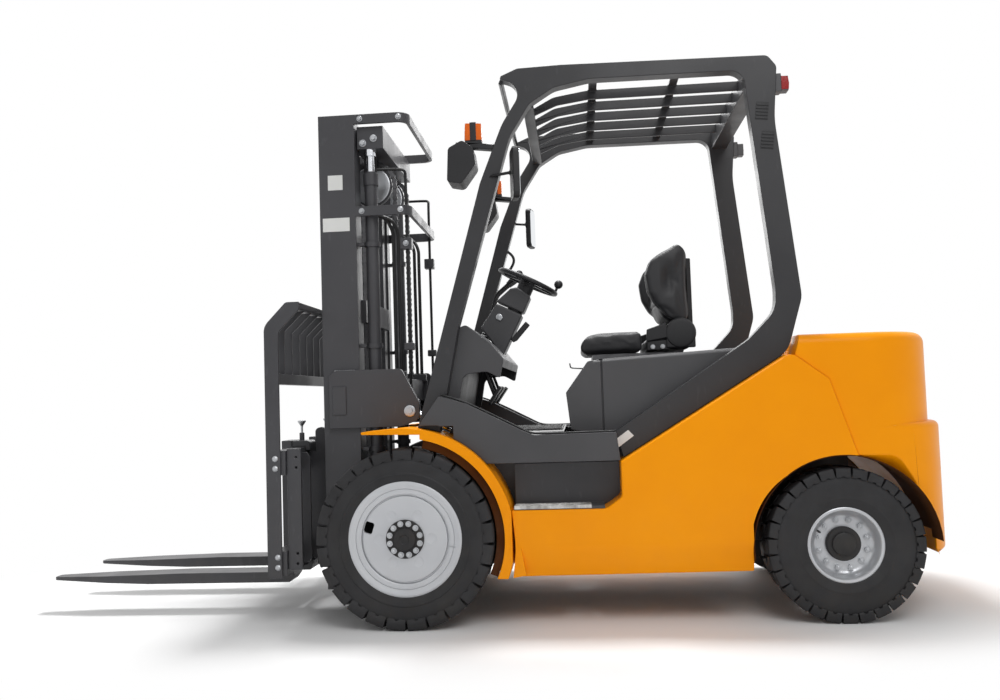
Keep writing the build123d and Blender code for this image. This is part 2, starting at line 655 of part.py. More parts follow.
def overhead_guard():
    """The overhead guard: two sides, cross members and curved roof bars."""
    left = guard_side()
    inner = GUARD_INNER + 1
    pieces = [left, mirrored(left)]
    top = GUARD_TOP
    pieces.append(block(-560, -515, -inner, inner, top - 152, top - 128))
    pieces.append(side_prism([(-432, top - 58), (-418, top - 50), (-426, top - 32), (-440, top - 38)],
                             -inner - 20, inner + 20))
    for x in (-810, -1150):
        pieces.append(block(x - 18, x + 18, -inner, inner, top_of_bars() - 4, top_of_bars() + 8))
    pieces.append(block(-1500, -1425, -inner, inner, top - 120, top - 35))
    spacing = 2 * GUARD_INNER / (ROOF_BARS + 1)
    for i in range(ROOF_BARS):
        y = -GUARD_INNER + spacing * (i + 1)
        high = top_of_bars()
        rib = side_prism([(-1430, high), (-790, high, 200), (-640, high - 22, 100), (-520, high - 85),
                          (-536, high - 85 - 22), (-655, high - 58, 100),
                          (-790, high - ROOF_BAR_DEPTH, 200),
                          (-1430, high - ROOF_BAR_DEPTH)], y - ROOF_BAR / 2, y + ROOF_BAR / 2)
        pieces.append(rib)
    return pieces[0].fuse(*pieces[1:])


def top_of_bars():
    """Height of the roof bars' top."""
    return GUARD_TOP - 42


def front_lamps():
    """The work lamps on the front posts, each with its indicator above it."""
    y = GUARD_OUTER - 22
    top = GUARD_TOP
    bracket = side_prism([(-238, top - 315), (-238, top - 295), (-402, top - 312), (-390, top - 334)],
                         y - 22, y + 20)
    shell = side_prism([(-203, top - 468, 14), (-210, top - 330, 20), (-268, top - 300, 16),
                        (-312, top - 330, 20),
                        (-322, top - 400, 30), (-262, top - 480, 24)], y - 62, y + 62)
    lens_recess = Plane(origin=(-207, y, top - 396), z_dir=(1, 0, 0.05)) * Box(20, 96, 108)
    pocket = lens_recess & block(-222, -180, y - 48, y + 48, top - 460, top - 330)
    indicator = side_prism([(-276, top - 300), (-279, top - 218, 10), (-345, top - 222, 10),
                            (-345, top - 306)],
                           y - 20, y + 20)
    lamp = bracket.fuse(shell.cut(pocket), indicator).cut(guard_side())
    return pair(lamp)


def tail_lamps():
    """The rear lamps on the rear posts."""
    lamp = block(-1556, -1526, GUARD_INNER + 4, GUARD_OUTER - 4, 2086, 2160)
    lens = block(-1585, -1541.5, GUARD_INNER + 8, GUARD_OUTER - 8, 2090, 2150)
    return pair(lamp.fuse(lens).cut(guard_side()))


def mirrors():
    """The rear-view mirrors on their stubs."""
    stub_z = GUARD_TOP - 444
    stub = bar((-355, GUARD_OUTER - 16, stub_z), (-478, 560, stub_z), 12).cut(guard_side())
    glass = fillet(Box(26, 100, 207).edges().filter_by(Axis.X), 24)
    glass = Pos(-482, 592, stub_z - 16) * Rot(0, 0, 12) * glass
    return pair(stub.fuse(glass))


def hood_top(x):
    """The height of the hood's top along its straight run."""
    return HOOD_FRONT_TOP + (-812 - x) * (HOOD_REAR_TOP - HOOD_FRONT_TOP) / (1356 - 812)


def hood():
    """The engine hood: a pressed shell that hinges at its rear edge."""
    half = HOOD_WIDTH / 2
    sheet = HOOD_SHEET
    outer = [(-667, 762), (-652, 912, 10), (-745, 1038, 16), (-812, HOOD_FRONT_TOP, 60),
             (-1356, HOOD_REAR_TOP, 60), (-1484, 1086, 8),
             (-1484, 1062), (-1384, 1050, 60), (-850, 720)]
    shell = side_prism(outer, -half, half)
    rise = degrees(atan2(HOOD_REAR_TOP - HOOD_FRONT_TOP, 1356 - 812))
    for side in (-1, 1):
        corner = Pos(-1084, side * half, hood_top(-1084)) * Rot(0, rise, 0) * Rot(45, 0, 0)
        shell = shell.cut(corner * Box(640, HOOD_EDGE * sqrt(2), HOOD_EDGE * sqrt(2)))
    inner = [(-667 - sheet, 700), (-667 - sheet, 905, 8), (-752, 1018, 12), (-812, 1026, 60),
             (-1356, 1052, 60),
             (-1470, 1058, 4), (-1470, 900), (-850, 650)]
    shell = shell.cut(side_prism(inner, -half + sheet, half - sheet))
    for side in (-1, 1):
        crease = block(-803, -797, side * (half - 4) - 4, side * (half - 4) + 4, 700, 1060)
        shell = shell.cut(crease)
    x, z = HOOD_HINGE_X, HOOD_HINGE_Z
    hinge = []
    for side in (-1, 1):
        near, far = sorted((side * 200, side * 300))
        hinge.append(pin_y(x, z, HINGE_PIN_DIA + 12, near, far))
        hinge.append(block(x, x + 22, near, far, z - 14, z - 2))
    shell = shell.fuse(*hinge)
    return shell.cut(pin_y(x, z, HINGE_PIN_DIA + 2 * RUNNING_GAP, -320, 320))


def hood_hinge():
    """The hinge pins and their brackets on the counterweight."""
    items = []
    for side in (-1, 1):
        pin = pin_y(HOOD_HINGE_X, HOOD_HINGE_Z, HINGE_PIN_DIA, side * 190, side * 335)
        ear = side_prism([(HOOD_HINGE_X + 12, 1074), (HOOD_HINGE_X + 12, 1102), (-1559.7, 1102),
                          (-1551.5, 1074)],
                         min(side * 306, side * 330), max(side * 306, side * 330))
        items.append(pin.fuse(ear))
    return [s for item in items for s in item.solids()]


def seat():
    """The seat: slide base, cushion and winged backrest."""
    rest = RUNNING_GAP
    base = side_prism([(-770, hood_top(-770)), (-812, hood_top(-812) + rest),
                       (-1150, hood_top(-1150) + rest),
                       (-1150, SEAT_FOOT - rest), (-770, SEAT_FOOT - rest)], -180, 180)
    half = SEAT_WIDTH / 2
    foot = SEAT_FOOT
    cushion = side_prism([(-701, foot, 20), (-712, foot + 52, 34), (-790, foot + 80, 40),
                          (-985, foot + 94, 20),
                          (-1000, foot, 12)], -half, half)
    wing = side_prism([(-1000.3, foot + 46), (-1005, foot + 132), (-1062, foot + 190, 40),
                       (-1005, foot + 290, 90),
                       (-1012, foot + 382, 90), (-1060, foot + 420, 90), (-1148, foot + 492, 26),
                       (-1190, foot + 470, 30), (-1190, foot + 412), (-1213, foot + 410),
                       (-1213, foot + 60, 40),
                       (-1170, foot, 40), (-1095, foot, 20), (-1080, foot + 46)], -half, half)
    hollow = side_prism([(-960, foot + 150), (-960, foot + 560), (-1120, foot + 500),
                         (-1072, foot + 400, 120),
                         (-1062, foot + 300, 120), (-1100, foot + 150)], -half + SEAT_WING,
                         half - SEAT_WING)
    return {"seat_base": base, "seat_cushion": cushion, "seat_back": wing.cut(hollow)}


def outer_mast():
    """The outer mast: two channels, tie straps, axle caps and cylinder brackets."""
    s = MAST_SIDE
    rail_plan = [(MAST_BACK, s), (MAST_FRONT, s), (MAST_FRONT, OUTER_INNER_FACE),
                 (MAST_FRONT - FLANGE_THICKNESS, OUTER_INNER_FACE),
                 (MAST_FRONT - FLANGE_THICKNESS, s - OUTER_WEB),
                 (MAST_BACK + FLANGE_THICKNESS, s - OUTER_WEB),
                 (MAST_BACK + FLANGE_THICKNESS, OUTER_INNER_FACE),
                 (MAST_BACK, OUTER_INNER_FACE)]
    rail = plan_prism(rail_plan, MAST_BOTTOM, MAST_TOP)
    pieces = [rail, mirrored(rail)]
    for top in (MAST_TOP, 1745):
        tie = plan_prism([(MAST_BACK + 5, s), (TIE_BACK, s, 55), (TIE_BACK, -s, 55), (MAST_BACK + 5, -s),
                          (MAST_BACK + 5, -s + 16), (TIE_BACK + 16, -s + 16, 40),
                          (TIE_BACK + 16, s - 16, 40),
                          (MAST_BACK + 5, s - 16)], top - TIE_HEIGHT, top)
        pieces.append(tie)
    pieces.append(block(MAST_BACK - 20, MAST_BACK + 2, -s, s, 130, 330))
    pieces.append(block(60, 140, -s, s, 900, 1000))
    cheek = side_prism([(48, 792, 20), (-32, 820, 30), (-32, 890, 30), (42, 1037, 20),
                        (MAST_FRONT - 30, 1037, 40),
                        (MAST_FRONT - 30, 792)], s - 0.5, s + 24)
    cheek = cheek.cut(pin_y(TILT_PIN_X, TILT_PIN_Z, TILT_PIN_DIA + 1, s - 2, s + 30))
    pieces += [cheek, mirrored(cheek)]
    arm = side_prism([(MAST_BACK + 4, 250), (MAST_BACK + 4, 455), (60, 455), (-70, 420), (-96, 355),
                      (-70, 290), (60, 250)],
                     262, s - 0.5)
    arm = arm.cut(pin_y(0, FRONT_RADIUS, AXLE_TUBE_DIA + 0.8, 250, 360))
    pieces += [arm, mirrored(arm)]
    lug = side_prism([(60, 880), (60, 960), (-24, 900, 20), (-24, 825, 20), (30, 825)], 288, 303)
    lug = lug.cut(pin_y(TILT_PIN_X, TILT_PIN_Z, TILT_PIN_DIA + 1, 280, 310))
    lug_arm = block(42, 141, 288, 303, 880, 1000)
    pieces += [lug, mirrored(lug), lug_arm, mirrored(lug_arm)]
    return pieces[0].fuse(*pieces[1:])


def tilt_pins():
    """The pins of the tilt cylinders' rod eyes."""
    pin = pin_y(TILT_PIN_X, TILT_PIN_Z, TILT_PIN_DIA, 286, MAST_SIDE + 34)
    return pair(pin)


def inner_mast():
    """The inner mast: two channels with cross plates, sheave crosshead and sheaves."""
    s = INNER_SIDE
    rail_plan = [(INNER_BACK, s), (INNER_FRONT, s), (INNER_FRONT, INNER_INNER_FACE),
                 (INNER_FRONT - FLANGE_THICKNESS, INNER_INNER_FACE),
                 (INNER_FRONT - FLANGE_THICKNESS, s - INNER_WEB),
                 (INNER_BACK + FLANGE_THICKNESS, s - INNER_WEB),
                 (INNER_BACK + FLANGE_THICKNESS, INNER_INNER_FACE),
                 (INNER_BACK, INNER_INNER_FACE)]
    rail = plan_prism(rail_plan, 138, MAST_TOP - 12)
    pieces = [rail, mirrored(rail)]
    for low in (360, 1250):
        pieces.append(block(INNER_BACK - 21, INNER_BACK + 1, -250, 250, low, low + 100))
    pieces.append(block(106, MAST_BACK - MOVING_GAP, -318, 318, CROSSHEAD_LOW, CROSSHEAD_LOW + 100))
    pieces.append(block(MAST_BACK - MOVING_GAP - 1, INNER_BACK + 1, -s, s, CROSSHEAD_LOW,
                        CROSSHEAD_LOW + 100))
    for side in (-1, 1):
        y = side * CHAIN_SPREAD / 2
        for offset in (-26, 18):
            pieces.append(block(SHEAVE_X - 30, SHEAVE_X + 30, y + offset, y + offset + 8, SHEAVE_Z - 30,
                                CROSSHEAD_LOW + 1))
        pieces.append(pin_y(SHEAVE_X, SHEAVE_Z, 26, y - 26, y + 26))
        pieces.append(pin_y(SHEAVE_X, SHEAVE_Z, SHEAVE_DIA, y - 12, y + 12))
    roller = pin_y((MAST_BACK + MAST_FRONT) / 2, 200, MAST_ROLLER, s - 1, s + 34)
    pieces += [roller, mirrored(roller)]
    return pieces[0].fuse(*pieces[1:])


def lift_cylinders():
    """The lift cylinder tubes, standing on the mast's lower arms."""
    x, y = 170, LIFT_SPREAD / 2
    tube = pin_z(x, y, LIFT_TUBE_DIA, 455, TUBE_TOP)
    gland = pin_z(x, y, LIFT_TUBE_DIA + 10, TUBE_TOP - 60, TUBE_TOP - 8)
    return pair(tube.fuse(gland).cut(pin_z(x, y, LIFT_ROD_DIA + 1, 500, TUBE_TOP + 1)))


def lift_rods():
    """The lift rods, up to the inner mast's crosshead."""
    x, y = 170, LIFT_SPREAD / 2
    rod = pin_z(x, y, LIFT_ROD_DIA, 505, CROSSHEAD_LOW - 28)
    cap = pin_z(x, y, 50, CROSSHEAD_LOW - 28, CROSSHEAD_LOW)
    return pair(rod.fuse(cap))


def mast_chains():
    """The lift chains, over the sheaves and down to the carriage."""
    items = []
    r = SHEAVE_DIA / 2 + RUNNING_GAP
    t = CHAIN_THICKNESS
    for side in (-1, 1):
        y = side * CHAIN_SPREAD / 2
        y0, y1 = y - CHAIN_WIDTH / 2, y + CHAIN_WIDTH / 2
        hoop = Pos(SHEAVE_X, SHEAVE_Z) * (Circle(r + t) - Circle(r))
        hoop -= Pos(SHEAVE_X, SHEAVE_Z - r - t) * Rectangle(3 * (r + t), 2 * (r + t))
        front = Pos(SHEAVE_X + r + t / 2, (CHAIN_FOOT + SHEAVE_Z) / 2) * Rectangle(t, SHEAVE_Z - CHAIN_FOOT)
        rear = Pos(SHEAVE_X - r - t / 2, (CHAIN_ANCHOR + SHEAVE_Z) / 2) * Rectangle(t,
                                                                                    SHEAVE_Z - CHAIN_ANCHOR)
        items.append(extrude(Plane.XZ.offset(-y1) * (hoop + front + rear), y1 - y0))
    return [s for item in items for s in item.solids()]


def carriage():
    """The fork carriage: bars, roller plates, rollers and chain anchors."""
    half = CARRIAGE_WIDTH / 2
    back = CARRIAGE_FACE - CARRIAGE_BAR
    pieces = [
        block(back, CARRIAGE_FACE, -half, half, UPPER_BAR_LOW, UPPER_BAR_HIGH),
        block(back, CARRIAGE_FACE, -half, half, LOWER_BAR_LOW, LOWER_BAR_HIGH),
    ]
    roller_x = (INNER_BACK + INNER_FRONT) / 2
    for side in (-1, 1):
        plate = side_prism([(262, 190, 20), (back - 30, 190), (back - 30, LOWER_BAR_LOW + 18),
                            (back + 1, LOWER_BAR_LOW + 18),
                            (back + 1, UPPER_BAR_HIGH - 24), (back - 30, UPPER_BAR_HIGH - 24),
                            (back - 30, 790, 20),
                            (430, 800, 20), (395, 660, 20), (262, 660, 20)],
                           min(side * 172, side * 196), max(side * 172, side * 196))
        pieces.append(plate)
        for z in (240, 600):
            pieces.append(pin_y(roller_x, z, CARRIAGE_ROLLER, side * 195, side * 250))
        for y in (300, 430):
            web = side_prism([(back - 40, LOWER_BAR_LOW + 40), (back - 26, LOWER_BAR_LOW + 18),
                              (back + 1, LOWER_BAR_LOW + 18), (back + 1, UPPER_BAR_HIGH - 20),
                              (back - 26, UPPER_BAR_HIGH - 20), (back - 40, UPPER_BAR_HIGH - 42)],
                             *sorted((side * y, side * (y + 16))))
            pieces.append(web)
    anchor_y = CHAIN_SPREAD / 2
    for side in (-1, 1):
        for offset in (-22, 16):
            y = side * anchor_y + offset
            pieces.append(block(280, 440, y, y + 6, 206, 246))
    pieces.append(block(436, 460, -173, 173, 200, 300))
    return pieces[0].fuse(*pieces[1:])


def backrest():
    """The load backrest: side plates, cross rails and upright slats."""
    half = CARRIAGE_WIDTH / 2 + RUNNING_GAP
    plate = side_prism([(520, 196, 6), (580, 196, 6), (580, BACKREST_TOP - 95, 60),
                        (486, BACKREST_TOP + 2, 20), (430, BACKREST_TOP + 2), (430, BACKREST_TOP - 30, 20),
                        (520, BACKREST_TOP - 120, 50)], half, half + BACKREST_PLATE)
    span = half - RUNNING_GAP
    top_rail = side_prism([(430, BACKREST_TOP - 26), (430, BACKREST_TOP), (478, BACKREST_TOP),
                           (496, BACKREST_TOP - 22)], -span, span)
    low_rail = block(528, 568, -span, span, BACKREST_RAIL, BACKREST_RAIL + BACKREST_RAIL_HEIGHT)
    foot = BACKREST_RAIL + BACKREST_RAIL_HEIGHT + RUNNING_GAP
    head = BACKREST_TOP - 26 - RUNNING_GAP
    slat_side = [(542, foot), (558, foot), (558, head - 76, 40), (478, head), (456, head),
                 (542, head - 84, 40)]
    pitch = 2 * span / (BACKREST_SLATS + 1)
    slats = []
    for i in range(1, BACKREST_SLATS + 1):
        y = -span + pitch * i
        slats += side_prism(slat_side, y - SLAT_WIDTH / 2, y + SLAT_WIDTH / 2).solids()
    return {
        "backrest_plates": pair(plate),
        "backrest_rails": [*top_rail.solids(), *low_rail.solids()],
        "backrest_slats": slats,
    }


def fork():
    """The left fork, hooked over the carriage bars."""
    y0, y1 = FORK_SPREAD / 2 - FORK_WIDTH / 2, FORK_SPREAD / 2 + FORK_WIDTH / 2
    x0 = CARRIAGE_FACE + RUNNING_GAP
    x1 = CARRIAGE_FACE + FORK_THICKNESS
    z = FORK_BOTTOM
    blade = [(x0, UPPER_BAR_HIGH + 30), (x1, UPPER_BAR_HIGH + 30), (x1, z + FORK_THICKNESS, 25),
             (x1 + FORK_FLAT, z + FORK_THICKNESS), (FORK_TIP_X, z + FORK_TIP_RISE + FORK_TIP_THICKNESS),
             (FORK_TIP_X, z + FORK_TIP_RISE), (x1 + FORK_FLAT + 160, z), (x0 + 20, z), (x0, z + 26)]
    body = side_prism(blade, y0, y1)
    taper = plan_prism([(x0 - 60, y0), (FORK_TIP_X - 260, y0), (FORK_TIP_X, y0 + 32, 20),
                        (FORK_TIP_X, y1 - 32, 20),
                        (FORK_TIP_X - 260, y1), (x0 - 60, y1)], 0, 1000)
    body = body & taper
    back = CARRIAGE_FACE - CARRIAGE_BAR
    hook = side_prism([(back - 20, UPPER_BAR_HIGH - 14), (back - RUNNING_GAP, UPPER_BAR_HIGH - 14),
                       (back - RUNNING_GAP, UPPER_BAR_HIGH + RUNNING_GAP),
                       (x0 + 1, UPPER_BAR_HIGH + RUNNING_GAP),
                       (x0 + 1, UPPER_BAR_HIGH + 28), (back - 20, UPPER_BAR_HIGH + 28, 14)], y0 + 10,
                       y1 - 10)
    low_hook = side_prism([(back - 20, LOWER_BAR_LOW + 12), (back - RUNNING_GAP, LOWER_BAR_LOW + 12),
                           (back - RUNNING_GAP, LOWER_BAR_LOW - RUNNING_GAP),
                           (x0 + 1, LOWER_BAR_LOW - RUNNING_GAP),
                           (x0 + 1, LOWER_BAR_LOW - 26), (back - 20, LOWER_BAR_LOW - 26, 12)], y0 + 10,
                           y1 - 10)
    latch = pin_z(back + CARRIAGE_BAR / 2, FORK_SPREAD / 2, 22, UPPER_BAR_HIGH + 27, UPPER_BAR_HIGH + 62)
    return body.fuse(hook, low_hook, latch)


def tilt_cylinders():
    """The tilt cylinders' barrels and rods."""
    y = TILT_SPREAD / 2
    base = Vector(TILT_BASE_X, y, TILT_BASE_Z)
    eye = Vector(TILT_PIN_X, y, TILT_PIN_Z)
    along = (eye - base).normalized()
    length = (eye - base).length
    barrel = bar(base + along * 20, base + along * (length - 190), TILT_TUBE_DIA)
    barrel = barrel.fuse(bar(base + along * (length - 230), base + along * (length - 196),
                             TILT_TUBE_DIA + 8))
    base_eye = pin_y(TILT_BASE_X, TILT_BASE_Z, 56, y - 20, y + 20)
    barrel = barrel.fuse(base_eye)
    barrel = barrel.cut(pin_y(TILT_BASE_X, TILT_BASE_Z, TILT_PIN_DIA, y - 50, y + 50))
    barrel = barrel.cut(bar(base + along * 110, base + along * (length - 150), TILT_ROD_DIA + 1))
    rod = bar(base + along * 235, base + along * (length - 20), TILT_ROD_DIA)
    rod_eye = pin_y(TILT_PIN_X, TILT_PIN_Z, ROD_EYE_DIA, y - 18, y + 18)
    rod = rod.fuse(rod_eye).cut(pin_y(TILT_PIN_X, TILT_PIN_Z, TILT_PIN_DIA + ROD_EYE_PLAY, y - 40, y + 40))
    return {
        "tilt_barrel_left": barrel, "tilt_barrel_right": mirrored(barrel),
        "tilt_rod_left": rod, "tilt_rod_right": mirrored(rod),
    }


def build():
    """All sub-parts by name."""
    left_fork = fork()
    nodes = {
        "frame": frame(),
        "side_panels": side_panels(),
        "front_fenders": front_fenders(),
        "steps": steps(),
        "floor_trims": floor_trims(),
        "floor_plate": floor_plate(),
        "cowl": cowl(),
        "steering_column": steering_column(),
        "steering_wheel": steering_wheel(),
        "control_levers": control_levers(),
        "pedals": pedals(),
        "counterweight": counterweight(),
        "tow_pin": tow_pin(),
        "rear_grille": rear_grille(),
        "radiator_cover": radiator_cover(),
        "engine_block": engine(),
        "overhead_guard": overhead_guard(),
        "front_lamps": front_lamps(),
        "tail_lamps": tail_lamps(),
        "mirrors": mirrors(),
        "drive_axle": drive_axle(),
        "steer_axle": steer_axle(),
        "hood": hood(),
        "hood_hinge_pins": hood_hinge(),
        "outer_mast": outer_mast(),
        "tilt_pins": tilt_pins(),
        "inner_mast": inner_mast(),
        "lift_cylinders": lift_cylinders(),
        "lift_rods": lift_rods(),
        "mast_chains": mast_chains(),
        "carriage": carriage(),
        "fork_left": left_fork,
        "fork_right": mirrored(left_fork),
    }
    nodes.update(wheels())
    nodes.update(knuckles())
    nodes.update(seat())
    nodes.update(backrest())
    nodes.update(tilt_cylinders())
    return nodes


def main():
    """Write one file per sub-part."""
    os.makedirs("parts", exist_ok=True)
    place = Pos(-MIDDLE, 0, 0)
    for name, shape in build().items():
        solids = shape if isinstance(shape, list) else shape.solids()
        moved = [place * s for s in solids]
        export_step(moved[0] if len(moved) == 1 else Compound(moved), f"parts/{name}.step")
        print(name, len(moved), round(sum(s.volume for s in moved) / 1e6, 2))


main()
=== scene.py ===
# %% [markdown]
# A counterbalance forklift, dressed over its CAD frame. The CAD model holds every size, joint and mount.
# This script only adds what the eye needs: paint, rubber, cast iron, vinyl, bolts, lamps and soft edges.
# Every length is in metres, X points to the fork tips, Y to the truck's left and Z up.

# %% Load the frame
import json
import math

import bmesh
import bpy
from mathutils import Matrix, Vector


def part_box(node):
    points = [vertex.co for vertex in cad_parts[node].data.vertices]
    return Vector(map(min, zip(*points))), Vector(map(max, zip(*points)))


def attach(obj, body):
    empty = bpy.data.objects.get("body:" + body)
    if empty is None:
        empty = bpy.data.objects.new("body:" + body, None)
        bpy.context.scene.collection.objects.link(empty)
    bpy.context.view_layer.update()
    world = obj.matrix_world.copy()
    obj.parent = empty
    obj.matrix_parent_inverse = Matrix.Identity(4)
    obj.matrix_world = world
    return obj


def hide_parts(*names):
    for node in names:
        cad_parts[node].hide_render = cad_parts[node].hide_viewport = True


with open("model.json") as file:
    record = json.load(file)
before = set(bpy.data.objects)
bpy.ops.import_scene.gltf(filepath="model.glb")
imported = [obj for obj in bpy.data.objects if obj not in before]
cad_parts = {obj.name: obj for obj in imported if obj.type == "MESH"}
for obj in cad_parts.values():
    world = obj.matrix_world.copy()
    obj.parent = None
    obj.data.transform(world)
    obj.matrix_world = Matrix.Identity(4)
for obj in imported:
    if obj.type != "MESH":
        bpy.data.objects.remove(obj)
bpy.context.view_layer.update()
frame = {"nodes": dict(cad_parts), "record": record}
nodes = frame["nodes"]
body_of_node = {node: body for body, group in frame["record"]["behaviour"]["bodies"].items() for node in group}
slot_of_node = {part["node"]: part["material_slot"] for part in frame["record"]["subparts"]}

# %% [markdown]
# The camera stands where the photographer stood: about four metres to the truck's left, a little below the
# driver's eyes, and turned slightly towards the rear. Its place, its three turns and its focal length came
# from fitting the two wheel circles and pairs of matching points on the near and far side.

# %% Camera
FRONT_AXLE_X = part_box("front_rim_left")[0].x * 0.5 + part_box("front_rim_left")[1].x * 0.5
CAMERA_BEHIND_AXLE = 0.699
CAMERA_SIDE = 4.096
CAMERA_HEIGHT = 0.898
CAMERA_YAW, CAMERA_PITCH, CAMERA_ROLL = (math.radians(a) for a in (4.87, 3.10, -1.86))
FOCAL_PIXELS = 891
FRAME_WIDTH_PIXELS = 1000


def camera_axes(yaw, pitch, roll):
    """The camera's right, up and forward axes, starting from a view along -Y with -X to the right."""
    turn = Matrix.Rotation(yaw, 3, "Z")
    right, up, ahead = turn @ Vector((-1, 0, 0)), Vector((0, 0, 1)), turn @ Vector((0, -1, 0))
    tilted_ahead = math.cos(pitch) * ahead + math.sin(pitch) * up
    tilted_up = math.cos(pitch) * up - math.sin(pitch) * ahead
    rolled_right = math.cos(roll) * right + math.sin(roll) * tilted_up
    rolled_up = math.cos(roll) * tilted_up - math.sin(roll) * right
    return rolled_right, rolled_up, tilted_ahead


camera_data = bpy.data.cameras.new("camera")
camera_data.sensor_width = 36
camera_data.lens = 36 * FOCAL_PIXELS / FRAME_WIDTH_PIXELS
camera = bpy.data.objects.new("camera", camera_data)
bpy.context.scene.collection.objects.link(camera)
right, up, ahead = camera_axes(CAMERA_YAW, CAMERA_PITCH, CAMERA_ROLL)
turned = Matrix((right, up, -ahead)).transposed().to_4x4()
place = Matrix.Translation((FRONT_AXLE_X - CAMERA_BEHIND_AXLE, CAMERA_SIDE, CAMERA_HEIGHT))
camera.matrix_world = place @ turned
bpy.context.scene.camera = camera
bpy.context.scene.view_settings.view_transform = "Standard"
print("camera lens", round(camera_data.lens, 1), "mm")

# %% [markdown]
# The floor is a wide pale sheet. Near the truck it shows its own light and shadow, and a few metres away it
# fades to the white of the sky, so no horizon shows. Only rays from the camera, or by way of a gloss or a glass,
# see that white: the light that falls on the truck doesn't change.

# %% Floor and light
FLOOR_HALF = 40.0
SHADOW_REACH = (0.82, 1.3)


def seen_rays(tree):
    """A value of 1 for rays that show a surface to the eye: straight, by gloss or through glass."""
    rays = tree.nodes.new("ShaderNodeLightPath")
    total = rays.outputs["Is Camera Ray"]
    for kind in ("Is Glossy Ray", "Is Transmission Ray"):
        either = tree.nodes.new("ShaderNodeMath")
        either.operation = "MAXIMUM"
        tree.links.new(total, either.inputs[0])
        tree.links.new(rays.outputs[kind], either.inputs[1])
        total = either.outputs[0]
    return total


bpy.ops.object.select_all(action="DESELECT")
bpy.ops.mesh.primitive_plane_add(size=2 * FLOOR_HALF, location=(0, 0, 0))
floor = bpy.context.object
floor.name = "floor"
bpy.ops.object.transform_apply(location=True, rotation=True, scale=True)
floor_mat = bpy.data.materials.new("pale_floor")
floor_mat.use_nodes = True
tree = floor_mat.node_tree
floor_shader = tree.nodes["Principled BSDF"]
floor_shader.inputs["Base Color"].default_value = (0.88, 0.88, 0.88, 1)
floor_shader.inputs["Roughness"].default_value = 0.7
floor_shader.inputs["Specular IOR Level"].default_value = 0.1
white = tree.nodes.new("ShaderNodeEmission")
coords = tree.nodes.new("ShaderNodeTexCoord")
length = tree.nodes.new("ShaderNodeVectorMath")
length.operation = "LENGTH"
outline_scale = tree.nodes.new("ShaderNodeVectorMath")
outline_scale.operation = "MULTIPLY"
outline_scale.inputs[1].default_value = (0.42, 0.95, 0)
tree.links.new(coords.outputs["Object"], outline_scale.inputs[0])
tree.links.new(outline_scale.outputs[0], length.inputs[0])
fade = tree.nodes.new("ShaderNodeMapRange")
fade.interpolation_type = "SMOOTHSTEP"
fade.inputs["From Min"].default_value, fade.inputs["From Max"].default_value = SHADOW_REACH
fade.inputs["To Min"].default_value, fade.inputs["To Max"].default_value = 0.0, 1.0
tree.links.new(length.outputs["Value"], fade.inputs["Value"])
gate = tree.nodes.new("ShaderNodeMath")
gate.operation = "MULTIPLY"
tree.links.new(fade.outputs["Result"], gate.inputs[0])
tree.links.new(seen_rays(tree), gate.inputs[1])
blend = tree.nodes.new("ShaderNodeMixShader")
tree.links.new(gate.outputs[0], blend.inputs[0])
tree.links.new(floor_shader.outputs[0], blend.inputs[1])
tree.links.new(white.outputs[0], blend.inputs[2])
tree.links.new(blend.outputs[0], tree.nodes["Material Output"].inputs["Surface"])
floor.data.materials.append(floor_mat)

world = bpy.data.worlds.new("studio")
bpy.context.scene.world = world
world.use_nodes = True
tree = world.node_tree
background = tree.nodes["Background"]
background.inputs["Color"].default_value = (1, 1, 1, 1)
background.inputs["Strength"].default_value = 0.42
seen = tree.nodes.new("ShaderNodeBackground")
seen.inputs["Color"].default_value = (1, 1, 1, 1)
seen.inputs["Strength"].default_value = 1.0
mixer = tree.nodes.new("ShaderNodeMixShader")
tree.links.new(seen_rays(tree), mixer.inputs[0])
tree.links.new(background.outputs[0], mixer.inputs[1])
tree.links.new(seen.outputs[0], mixer.inputs[2])
tree.links.new(mixer.outputs[0], tree.nodes["World Output"].inputs["Surface"])


def soft_lamp(name, place, aim, size, power):
    """A square soft box at a place, aimed at a point."""
    data = bpy.data.lights.new(name, "AREA")
    data.size = size
    data.energy = power
    lamp = bpy.data.objects.new(name, data)
    bpy.context.scene.collection.objects.link(lamp)
    lamp.location = place
    lamp.rotation_euler = (Vector(aim) - Vector(place)).to_track_quat("-Z", "Y").to_euler()
    return lamp


soft_lamp("top_box", (-0.4, -0.9, 5.2), (-0.2, 0, 0.8), 1.3, 300)
soft_lamp("side_box", (-1.8, 4.3, 5.0), (0, 0, 0.9), 3.0, 118)
soft_lamp("back_box", (0.5, -5.0, 3.5), (0, 0, 1.0), 3.5, 110)
print("lamps", len(bpy.data.lights))

# %% [markdown]
# Every finish below starts as one shader and gets its life from noise on the object's own coordinates: patches
# of slightly different colour, a roughness that wanders, and a fine grain that bends the surface. Paint shows
# the faint dimples of sprayed lacquer, rubber is dull and mottled, and cast iron is coarse. Dust lies on what
# is near the floor, so it grows towards the ground.

# %% Tools for finishes


def screen(red, green, blue):
    """A colour as it is read on a screen, 0 to 255, as the linear values a shader takes."""
    parts = [value / 255 for value in (red, green, blue)]
    return [v / 12.92 if v <= 0.04045 else ((v + 0.055) / 1.055) ** 2.4 for v in parts] + [1.0]


def link(tree, source, target):
    """Joins two sockets."""
    tree.links.new(source, target)


